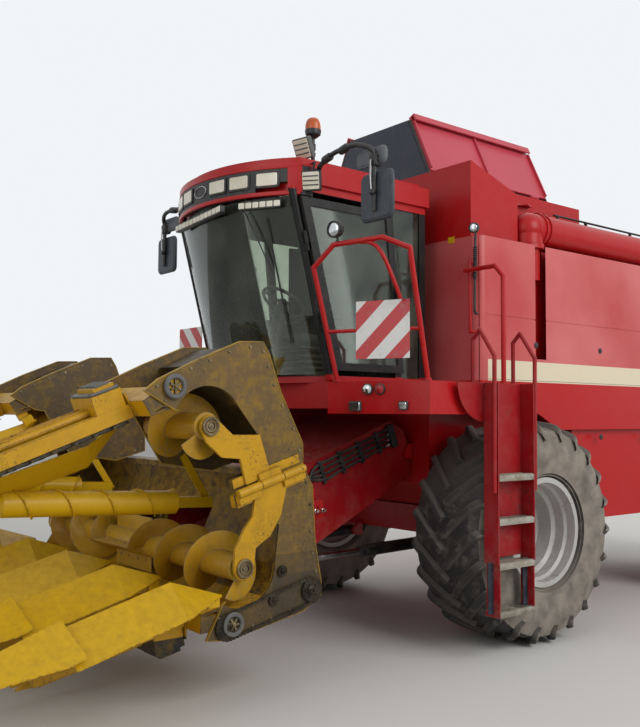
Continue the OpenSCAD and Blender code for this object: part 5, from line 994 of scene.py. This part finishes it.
def rail_extras():
    """Curved grab hoop behind the near board, the corner handrail, the lamp on its stalk at the body's
    corner, and the small yellow plate there."""
    grab = [(1.690, 1.290, 3.062), (1.655, 1.400, 3.040), (1.625, 1.480, 2.950), (1.560, 1.520, 2.780),
            (1.500, 1.535, 2.640)]
    handrail = [(0.384, 1.235, 3.060), (0.430, 1.240, 3.065), (0.446, 1.250, 3.030), (0.446, 1.250, 2.540),
                (0.430, 1.240, 2.500), (0.384, 1.235, 2.495)]
    tubes = [pipe(grab, 0.015, 12, 6), pipe(handrail, 0.013, 12, 6)]
    make("grab_tubes", "root", red, tubes, slot="red_paint")
    rod = [(0.384, 1.270, 2.640), (0.420, 1.280, 2.650), (0.428, 1.282, 2.72), (0.430, 1.290, 3.05),
           (0.434, 1.300, 3.30)]
    hub, look = (0.442, 1.300, 3.335), (0.9, 0.3, -0.1)
    shell = [(0, -0.02), (0.030, -0.02), (0.042, 0.0), (0.044, 0.03), (0.038, 0.034), (0, 0.034)]
    face = [(0, 0.030), (0.036, 0.030), (0.030, 0.036), (0, 0.040)]
    stalk = [pipe(rod, 0.010, 10, 6), turned(shell, hub, look, 20)]
    t = np.linspace(0, 1, 61)
    sleeve = np.stack([0.432 + 0 * t, 1.290 + 0.004 * t, 2.92 + 0.26 * t], 1)
    stalk.append(carried(sleeve, round_profile(1, 12), 0.017 + 0.004 * np.cos(t * TAU * 15)))
    make("corner_lamp_stalk", "root", black_plastic, stalk, slot="black_plastic")
    make("corner_lamp_lens", "root", headlamp, [turned(face, hub, look, 20)], slot="lamp_plastic")
    plate = [slab(rounded(0.075, 0.055, 0.006), 0.003, (0.3805, 0.985, 3.290), Y, Z, 0.001)]
    make("corner_yellow_plate", "root", hood_yellow, plate, slot="yellow_paint")


ladder_parts()
rail_extras()


# Header: the outline of an end plate seen from the left, and what lies on it: the auger's axis, the drive's
# coupling, the side drive's two large wheels and its two small ones
END_PLATE = np.array([(2.300, 1.455), (2.232, 1.343), (2.205, 0.975), (2.152, 0.708), (2.152, 0.626),
                      (2.305, 0.537), (2.640, 0.478), (2.915, 0.443), (3.025, 0.455), (2.915, 0.655),
                      (2.860, 0.700), (2.860, 1.110), (2.560, 1.375)])
AUGER, COUPLING = (2.774, 0.861), (2.849, 0.533)
DRIVE_REAR, DRIVE_FRONT, IDLERS = (2.246, 0.668), (2.884, 0.520), ((2.541, 0.640), (2.477, 0.814))
# The rows' places across the middle, and a wing's row at work
ROWS, WING_ROW = (-1.125, -0.375, 0.375, 1.125), 1.875
# Where a row's deck starts, and the directions along it and off it: it falls 12 degrees towards the front
DECK_START, DECK_FALL = np.array([3.060, 0, 0.596]), math.radians(12)
DECK_ALONG = np.array([math.cos(DECK_FALL), 0, -math.sin(DECK_FALL)])
DECK_OFF = np.array([math.sin(DECK_FALL), 0, math.cos(DECK_FALL)])
# How far out the faces of the end plates lie: of the middle's plate, of a wing's inner and of its outer one
MIDDLE_FACE, INNER_FACE, OUTER_FACE = 1.460, 1.540, 2.250
# How far the bearing, the shaft's end and the coupling stand before a face, how deep in its plate a flange's
# middle lies, and how far out the side drive's wheels are
BEARING_PROUD, SHAFT_PROUD, JAWS_PROUD, EDGE_IN, DRIVE_PLANE = 0.0275, 0.026, 0.0115, 0.007, 1.4740


def belt_line(a, ra, b, rb, pitch):
    """Places and headings every pitch along a loop round two wheels: two straight runs and two half turns."""
    a, b = np.array(a), np.array(b)
    run = unit(b - a)
    off = np.array([-run[1], run[0]])
    turn = np.linspace(0, TAU / 2, 13)[:, None]
    first = b + rb * (np.cos(turn) * off + np.sin(turn) * run)
    second = a + ra * (-np.cos(turn) * off - np.sin(turn) * run)
    loop = np.vstack([first, second, first[:1]])
    gone = np.concatenate([[0], np.cumsum(np.linalg.norm(np.diff(loop, axis=0), axis=1))])
    at = np.arange(0, gone[-1] - pitch / 2, gone[-1] / round(gone[-1] / pitch))
    place = np.stack([np.interp(at, gone, loop[:, i]) for i in (0, 1)], 1)
    ahead = np.stack([np.interp((at + pitch / 2) % gone[-1], gone, loop[:, i]) for i in (0, 1)], 1)
    return place, unit(ahead - place)


def chain_links(places, headings, pitch, wide, thick, lift, to_world):
    """Roller chain: waisted link plates, every second one higher, as they overlap. to_world turns points
    (a, b) and a height into places."""
    t = np.linspace(0, TAU, 13)[:-1]
    outline = np.stack([pitch * 0.62 * np.cos(t), wide * (0.5 - 0.12 * np.cos(2 * t)) * np.sin(t)], 1)
    grids = []
    for i, (p, h) in enumerate(zip(places, headings)):
        side = np.array([-h[1], h[0]])
        flat = p + h * pitch / 2 + outline[:, :1] * h + outline[:, 1:] * side
        low = lift + (thick * 0.6 if i % 2 else 0)
        heart = np.repeat(flat.mean(0)[None], 12, 0)
        rows = ((heart, low), (flat, low), (flat, low + thick), (heart, low + thick))
        grids.append(np.stack([to_world(row, height) for row, height in rows]))
    return grids


def sprocket(centre, y, radius, teeth, out):
    """A toothed wheel's face with its bolted hub: its outline is radius * (1 - 0.055 cos(teeth * a))."""
    a = np.arange(teeth * 4) * TAU / (teeth * 4)
    r = radius * (1 - 0.055 * np.cos(a * teeth))
    c = np.array([centre[0], y, centre[1]])
    rim = np.stack([r * np.cos(a), r * np.sin(a)], 1)
    hub = [(0, 0), (radius * 0.42, 0), (radius * 0.42, 0.012), (radius * 0.30, 0.016), (radius * 0.30, 0.022),
           (radius * 0.16, 0.022), (radius * 0.14, 0.014), (0, 0.014)]
    grids = [slab(rim, 0.004, c, -out * X, Z, 0.001), turned(hub, c, out * Y, 24)]
    ring = radius * 0.60
    for k in range(5):
        a = TAU * k / 5
        grids += hex_bolt(c + (ring * math.cos(a), out * 0.004, ring * math.sin(a)), out * Y, radius * 0.10)
    return grids


def hub_face(centre, y, out):
    """Bearing on an arm: a pressed ring with its lip and the seal's groove."""
    size = 0.060
    ring = [(0.70, -0.002), (1.0, -0.002), (1.0, 0.006), (0.93, 0.010), (0.80, 0.010), (0.76, 0.004),
            (0.70, 0.004), (0.70, -0.002)]
    return [turned([(size * r, h) for r, h in ring], (centre[0], y, centre[1]), out * Y, 36)]


def coupling(centre, y, out):
    """Dog coupling of the wing drive: a thick ring round a star of six jaws."""
    c = np.array([centre[0], y, centre[1]])
    ring = [turned([(0.046, -0.001), (0.074, -0.001), (0.074, 0.016), (0.066, 0.022), (0.052, 0.022),
                    (0.046, 0.014), (0.046, -0.001)], c, out * Y, 40)]
    a = np.arange(72) * TAU / 72
    star = (0.030 + 0.012 * np.tanh(4 * np.cos(a * 6)))[:, None] * np.stack([np.cos(a), np.sin(a)], 1)
    jaws = [slab(star, 0.015, c, -out * X, Z, 0.002),
            turned([(0, 0), (0.012, 0), (0.012, 0.022), (0.008, 0.025), (0, 0.025)], c, out * Y, 16)]
    return ring, jaws


# An inner plate is open in front of the auger, so its flange ends at the opening
OPEN_RIM = np.vstack([[(2.895, 0.672), (2.915, 0.655), (3.025, 0.455), (2.915, 0.443)], END_PLATE[6:0:-1],
                      END_PLATE[:1], [(2.560, 1.375), (2.585, 1.352), (2.507, 1.112)]])
CLOSED_RIM = np.vstack([END_PLATE, END_PLATE[:1]])


def plate_edge(y, line):
    """A turned-up flange along an end plate's outline."""
    path = np.stack([line[:, 0], np.full(len(line), y), line[:, 1]], 1)
    fine = [np.linspace(path[i], path[i + 1], 5)[:-1] for i in range(len(path) - 1)]
    return [carried(np.concatenate(fine + [path[-1:]]), rounded(0.007, 0.022, 0.002, 2))]


def plate_bolts(y, out):
    """Bolt heads inside the outline of an end plate, 130 mm or more apart, and clear of the auger's mouth."""
    middle, inward = END_PLATE.mean(0), 0.035
    grids = []
    for p, q in zip(CLOSED_RIM[:-1], CLOSED_RIM[1:]):
        count = max(1, int(np.linalg.norm(q - p) / 0.13))
        for k in range(count):
            spot = p + (q - p) * (k + 0.5) / count
            spot = spot + unit(middle - spot) * inward
            if np.linalg.norm(spot - AUGER) > 0.275 and not (spot[0] > 2.5 and spot[1] > 0.8):
                grids += hex_bolt((spot[0], y, spot[1]), out * Y, 0.009)
    return grids


def deck_point(y):
    """Gives the function that turns (forward, across) and a height off the deck of that row into places."""
    def to_world(flat, lift):
        return DECK_START + y * Y + flat[:, :1] * DECK_ALONG + flat[:, 1:] * Y + lift * DECK_OFF
    return to_world


def gathering_links(y):
    """Roller links on both gathering chains of the row at y."""
    grids, pitch, radius = [], 0.042, 0.038
    for out in (-0.096, 0.096):
        places, headings = belt_line((0.090, out), radius, (0.985, out), radius, pitch)
        grids += chain_links(places, headings, pitch, 0.024, 0.003, 0.0290, deck_point(y))
    return grids


def side_chain():
    """Links of the side drive, on the outer face of the plain chain, and its toothed wheels."""
    pitch = 0.0254
    places, headings = belt_line(DRIVE_REAR, 0.080, DRIVE_FRONT, 0.076, pitch)

    def to_world(flat, lift):
        return np.stack([flat[:, 0], np.full(len(flat), lift), flat[:, 1]], 1)
    grids = chain_links(places, headings, pitch, 0.020, 0.0025, DRIVE_PLANE + 0.0005, to_world)
    for centre, radius, teeth in ((DRIVE_REAR, 0.072, 18), (DRIVE_FRONT, 0.068, 17), (IDLERS[0], 0.036, 11),
                                  (IDLERS[1], 0.036, 11)):
        grids += sprocket(centre, DRIVE_PLANE, radius, teeth, 1)
    return grids


def row_gearbox(y):
    """Ribbed cover on the gearbox under the rear end of the deck of the row at y, and its bolts."""
    corner = DECK_START + y * Y
    at = corner + DECK_ALONG * 0.142 - DECK_OFF * 0.190
    grids = [slab(rounded(0.205, 0.285, 0.03), 0.016, at - DECK_OFF * 0.016, DECK_ALONG, Y, 0.005)]
    under = corner + DECK_ALONG * 0.130 - DECK_OFF * 0.242
    grids += [slab(rounded(0.10, 0.012, 0.004, 2), 0.045, under + k * Y, DECK_ALONG, Y, 0.003)
              for k in (-0.09, -0.045, 0, 0.045, 0.09)]
    for k in (-0.125, 0.125):
        for x in (0.055, 0.229):
            grids += hex_bolt(corner + DECK_ALONG * x - DECK_OFF * 0.205 + k * Y, -DECK_OFF, 0.008)
    return grids


def flight(y0, y1):
    """Auger flight of rolled steel: round the axis by 360 (y - y0) / pitch degrees, thicker at the tube than
    at the worn rim, whose corners are rounded."""
    pitch, inner, outer = 0.400, 0.081, 0.205
    count = int((y1 - y0) / pitch * 48)
    gone = np.linspace(0, y1 - y0, count)[:, None]
    half_way = 0.5 * (inner + outer)
    shape = [(inner, -0.0055), (half_way, -0.0047), (outer - 0.003, -0.0036), (outer, -0.0022),
             (outer, 0.0022), (outer - 0.003, 0.0036), (half_way, 0.0047), (inner, 0.0055)]
    r, off = np.array(shape).T
    angle = TAU * gone / pitch + 0 * off
    off = off * np.clip(np.minimum(gone, y1 - y0 - gone) / 0.012, 0.15, 1)
    ribbon = np.stack([AUGER[0] + r * np.cos(angle), y0 + gone + off, AUGER[1] + r * np.sin(angle)], 2)
    first, last = [np.repeat(ring.mean(0)[None], len(shape), 0)[None] for ring in (ribbon[0], ribbon[-1])]
    return np.concatenate([first, ribbon, last])


def round_bar(y0, y1, radius):
    """A round bar on the auger's axis with eased ends."""
    eased = radius - 0.003
    line = [(0, y0), (eased, y0), (radius, y0 + 0.003), (radius, y1 - 0.003), (eased, y1), (0, y1)]
    return turned(line, (AUGER[0], 0, AUGER[1]), Y, 40)


def auger_parts():
    """The middle auger with its paddles, and the wings' shorter ones."""
    near = [flight(0.300, 1.436)]
    paddles = []
    for k in range(4):
        a = TAU * k / 4
        outward, side = np.array([math.cos(a), 0, math.sin(a)]), np.array([-math.sin(a), 0, math.cos(a)])
        blade = [(0.081, -0.280), (0.195, -0.280), (0.195, 0.280), (0.081, 0.280)]
        corner = np.array([AUGER[0], 0, AUGER[1]]) - 0.004 * np.cross(outward, Y)
        paddles.append(slab(blade, 0.008, corner, outward, Y, 0.002))
        for y in (-0.2, -0.07, 0.07, 0.2):
            seat = np.array([AUGER[0], y, AUGER[1]]) + 0.115 * outward + 0.004 * side
            paddles += hex_bolt(seat, side, 0.009)
    shafts = [round_bar(-1.438, 1.438, 0.085), round_bar(-1.486, 1.486, 0.040)]
    make("auger_middle", "header_auger", auger_yellow, near + mirrored(near) + paddles + shafts,
         ("header_auger",), slot="yellow_paint")
    short = folded([flight(1.564, 2.226), round_bar(1.562, 2.228, 0.085), round_bar(1.514, 2.246, 0.040)])
    for side, grids in (("left", short), ("right", mirrored(short))):
        make(f"auger_wing_{side}", f"wing_auger_{side}", auger_yellow, grids, (f"wing_auger_{side}",),
             slot="yellow_paint")


auger_parts()


def feeder_hydraulics():
    """Valve block with its couplings on the feeder house's left wall, and four hoses clipped along the wall
    from the block up to the bulkhead near the pivot."""
    wall, slope = 0.560, -0.380
    valves = [block((1.530, wall, 1.010), (1.772, 0.700, 1.150), 0.008),
              block((1.575, wall, 1.145), (1.755, 0.660, 1.235), 0.006)]
    socket = [(0, 0), (0.030, 0), (0.030, 0.052), (0.024, 0.058), (0, 0.058)]
    plug = [(0, 0), (0.017, 0), (0.017, 0.016), (0.012, 0.018), (0.012, 0.040), (0, 0.040)]
    places = (1.583, 1.653, 1.723)
    valves += [turned(socket, (x, 0.700, 1.080), Y, 20) for x in places]
    make("hydraulic_valve_block", "feeder", red, valves, slot="red_paint")
    nipples = [turned(plug, (x, 0.758, 1.080), Y, 6) for x in places]
    low_nut = [(0, 0), (0.019, 0), (0.019, 0.020), (0.015, 0.022), (0.015, 0.034), (0, 0.034)]
    high_nut = [(0, 0), (0.018, 0), (0.018, 0.022), (0.015, 0.024), (0.015, 0.044), (0, 0.044)]
    hoses = []
    for k, x in enumerate((1.595, 1.640, 1.685, 1.730)):
        y, rise = wall + 0.0135, 1.700 - 0.045 * k
        line = [(x, y + 0.04, 1.232), (x, y + 0.04, 1.262), (x - 0.015, y + 0.02, 1.300)]
        line += [(s, y, rise + slope * (s - 0.700)) for s in (1.500 - 0.03 * k, 1.300, 1.100, 0.900, 0.780)]
        line.append((0.730, y, rise + slope * 0.030 - 0.004))
        hoses.append(pipe(line, 0.0125, 12, 6))
        nipples.append(turned(low_nut, (x, y + 0.04, 1.230), Z, 6))
        nipples.append(turned(high_nut, (0.715, y, rise + slope * 0.015), (1, 0, slope), 6))
    across, run = (-slope, 0, 1), (1, 0, slope)
    clips = [slab(rounded(0.190, 0.030, 0.004), 0.030, (x, wall - 0.001, 1.633 + slope * (x - 0.700)), across,
                  run, 0.004) for x in (1.440, 1.240, 1.040, 0.840)]
    clips.append(slab(rounded(0.200, 0.060, 0.008), 0.046, (0.690, wall - 0.001, 1.633), across, run, 0.004))
    make("feeder_hoses", "feeder", hose_rubber, hoses, slot="black_plastic")
    make("hose_clips", "feeder", black_plastic, clips, slot="black_plastic")
    make("hydraulic_nipples", "feeder", bright_steel, nipples, slot="bright_steel")


def body_parts():
    """Oil pipe on stand-offs along the unloading tube, seals between the tank's end panels and its lids,
    latches of the side panels, and the guard panel beneath the far side of the platform."""
    top, y = 3.650, 1.150
    line = [(-0.860, y, 3.560), (-0.860, y, 3.620), (-0.880, y, top - 0.006), (-0.930, y, top),
            (-2.400, y, top), (-4.300, y, top), (-4.360, y, top - 0.02), (-4.370, y, 3.560)]
    posts = [block((x - 0.010, y - 0.012, 3.560), (x + 0.010, y + 0.012, top + 0.004), 0.003)
             for x in (-1.30, -2.05, -2.80, -3.55)]
    oil_pipe = [pipe(line, 0.010, 12, 6)] + posts
    make("tube_oil_pipe", "unloading_auger", black_coat, oil_pipe, slot="black_paint")
    strip = [(0.645, 3.952), (0.674, 3.952), (0.430, 4.487), (0.401, 4.487)]
    seals = [slab(strip, 0.018, (x, 0, 0), Y, Z, 0.003) for x in (0.308, -1.350)]
    make("tank_lid_seals", "root", hose_rubber, seals + mirrored(seals), slot="black_plastic")
    latches = []
    button = [(0, -0.002), (0.026, -0.002), (0.026, 0.004), (0.020, 0.007), (0, 0.007)]
    for x, z in ((-0.35, 2.42), (-1.30, 1.62), (-1.30, 2.42), (-2.05, 1.62), (-2.05, 2.42), (-3.10, 2.42),
                 (-3.90, 2.42)):
        latches.append(turned(button, (x, 1.2905, z), Y, 24))
        latches.append(slab(rounded(0.034, 0.008, 0.003, 2), 0.005, (x, 1.2965, z), -X, Z, 0.001))
    make("side_panel_latches", "root", black_plastic, latches + mirrored(latches), slot="black_plastic")
    guard = [block((0.350, -0.612, 1.500), (1.500, -0.604, 2.035), 0.002)]
    guard += [block((x, -0.634, 1.500), (x + 0.03, -0.612, 2.035), 0.002) for x in (0.37, 0.92, 1.46)]
    make("platform_guard_panel", "root", red_worn, guard, slot="red_paint")


feeder_hydraulics()
body_parts()


# A shaft's end cap as (radius, height): rim, seal groove, washer and centre bolt
CAP_LINE = [(0, -0.002), (0.038, -0.002), (0.038, 0.004), (0.035, 0.007), (0.027, 0.007), (0.025, 0.001),
            (0.018, 0.001), (0.017, 0.007), (0.009, 0.008), (0.008, 0.010), (0, 0.010)]


def middle_parts():
    """Everything added to the middle of the header, on both of its end plates and along its rows."""
    ring, jaws = coupling(COUPLING, MIDDLE_FACE + JAWS_PROUD, 1)
    bearing = hub_face(AUGER, MIDDLE_FACE + BEARING_PROUD, 1)
    edges = plate_edge(MIDDLE_FACE - EDGE_IN, OPEN_RIM)
    for name, material, grids, slot in (("side_drive_chains", chain_steel, side_chain(), "worn_steel"),
                                        ("middle_bearings", worn_steel, bearing + jaws, "worn_steel"),
                                        ("middle_plate_edges", edge_yellow, edges, "yellow_paint"),
                                        ("middle_coupling_rings", gear_grey, ring, "dark_paint"),
                                        ("middle_plate_bolts", worn_steel, plate_bolts(MIDDLE_FACE, 1),
                                         "worn_steel")):
        make(name, "feeder", material, grids + mirrored(grids), slot=slot)
    links = [grid for y in ROWS for grid in gathering_links(y)]
    make("middle_gathering_links", "feeder", chain_steel, links, slot="worn_steel")
    cap = [turned(CAP_LINE, (AUGER[0], MIDDLE_FACE + SHAFT_PROUD, AUGER[1]), Y, 24)]
    make("auger_shaft_caps", "header_auger", worn_steel, cap + mirrored(cap), slot="worn_steel")


def wing_parts():
    """Everything added to the wings: drawn on the left one at work, folded over, mirrored for the right."""
    ring, jaws = coupling(COUPLING, INNER_FACE - JAWS_PROUD, -1)
    bearing = hub_face(AUGER, INNER_FACE - BEARING_PROUD, -1)
    edges = plate_edge(INNER_FACE + EDGE_IN, OPEN_RIM) + plate_edge(OUTER_FACE - EDGE_IN, CLOSED_RIM)
    bolts = plate_bolts(INNER_FACE, -1) + plate_bolts(OUTER_FACE, 1)
    cap = [turned(CAP_LINE, (AUGER[0], INNER_FACE - SHAFT_PROUD, AUGER[1]), -Y, 24)]
    parts = (("wing_bearings", "wing", worn_steel, bearing + jaws, "worn_steel"),
             ("wing_plate_edges", "wing", edge_yellow, edges, "yellow_paint"),
             ("wing_coupling_ring", "wing", gear_grey, ring, "dark_paint"),
             ("wing_plate_bolts", "wing", worn_steel, bolts, "worn_steel"),
             ("wing_gathering_links", "wing", chain_steel, gathering_links(WING_ROW), "worn_steel"),
             ("wing_gearbox_cover", "wing", gear_grey, row_gearbox(WING_ROW), "dark_paint"),
             ("wing_shaft_cap", "wing_auger", worn_steel, cap, "worn_steel"))
    for side in ("left", "right"):
        for name, body, material, grids, slot in parts:
            over = folded(grids) if side == "left" else mirrored(folded(grids))
            make(f"{name}_{side}", f"{body}_{side}", material, over, slot=slot)


middle_parts()
wing_parts()


# Floor and light
def stage_material(name, colour):
    """A plain pale floor, dull all over, which takes the object's shadow."""
    material = bpy.data.materials.new(name)
    material.use_nodes = True
    material.node_tree.nodes.clear()
    plain = add(material, "BsdfDiffuse", {"Color": linear(colour)})
    add(material, "OutputMaterial", {"Surface": plain.outputs[0]})
    return material


def make_stage():
    """One wide floor a hair under the wheels."""
    half, low = 60.0, -0.002
    mesh = bpy.data.meshes.new("floor")
    mesh.from_pydata([(-half, -half, low), (half, -half, low), (half, half, low), (-half, half, low)], [],
                     [(0, 1, 2, 3)])
    floor = bpy.data.objects.new("floor", mesh)
    mesh.materials.append(stage_material("pale_floor", "d9d7d2"))
    bpy.context.scene.collection.objects.link(floor)


def make_light():
    """An even pale sky and three large soft lamps, set so that a colour renders about as written."""
    world = bpy.data.worlds.new("studio")
    bpy.context.scene.world = world
    world.use_nodes = True
    tree = world.node_tree
    tree.nodes.clear()
    path = add(world, "LightPath").outputs
    through = maths(world, "MAXIMUM", path["Is Glossy Ray"], path["Is Transmission Ray"])
    seen = maths(world, "MAXIMUM", path["Is Camera Ray"], through)
    strength = ramp(world, seen, 0, 1, 0.50, 1.0)
    sky = add(world, "Background", {"Color": linear("f1f4f7"), "Strength": strength})
    add(world, "OutputWorld", {"Surface": sky.outputs[0]})
    target = front(0.5, 0, 1.6)
    for name, place, size, power in (("key", (-1.0, 14, 9), 9, 1250), ("front_fill", (13, 3, 6), 8, 260),
                                     ("back_rim", (-9, -8, 9), 8, 500)):
        data = bpy.data.lights.new(name, "AREA")
        data.shape, data.size, data.energy = "SQUARE", size, power
        lamp = bpy.data.objects.new(name, data)
        bpy.context.scene.collection.objects.link(lamp)
        lamp.location = front(*place)
        lamp.rotation_mode = "QUATERNION"
        lamp.rotation_quaternion = (target - lamp.location).to_track_quat("-Z", "Y")


make_stage()
make_light()
bpy.context.scene.view_settings.view_transform = "Standard"
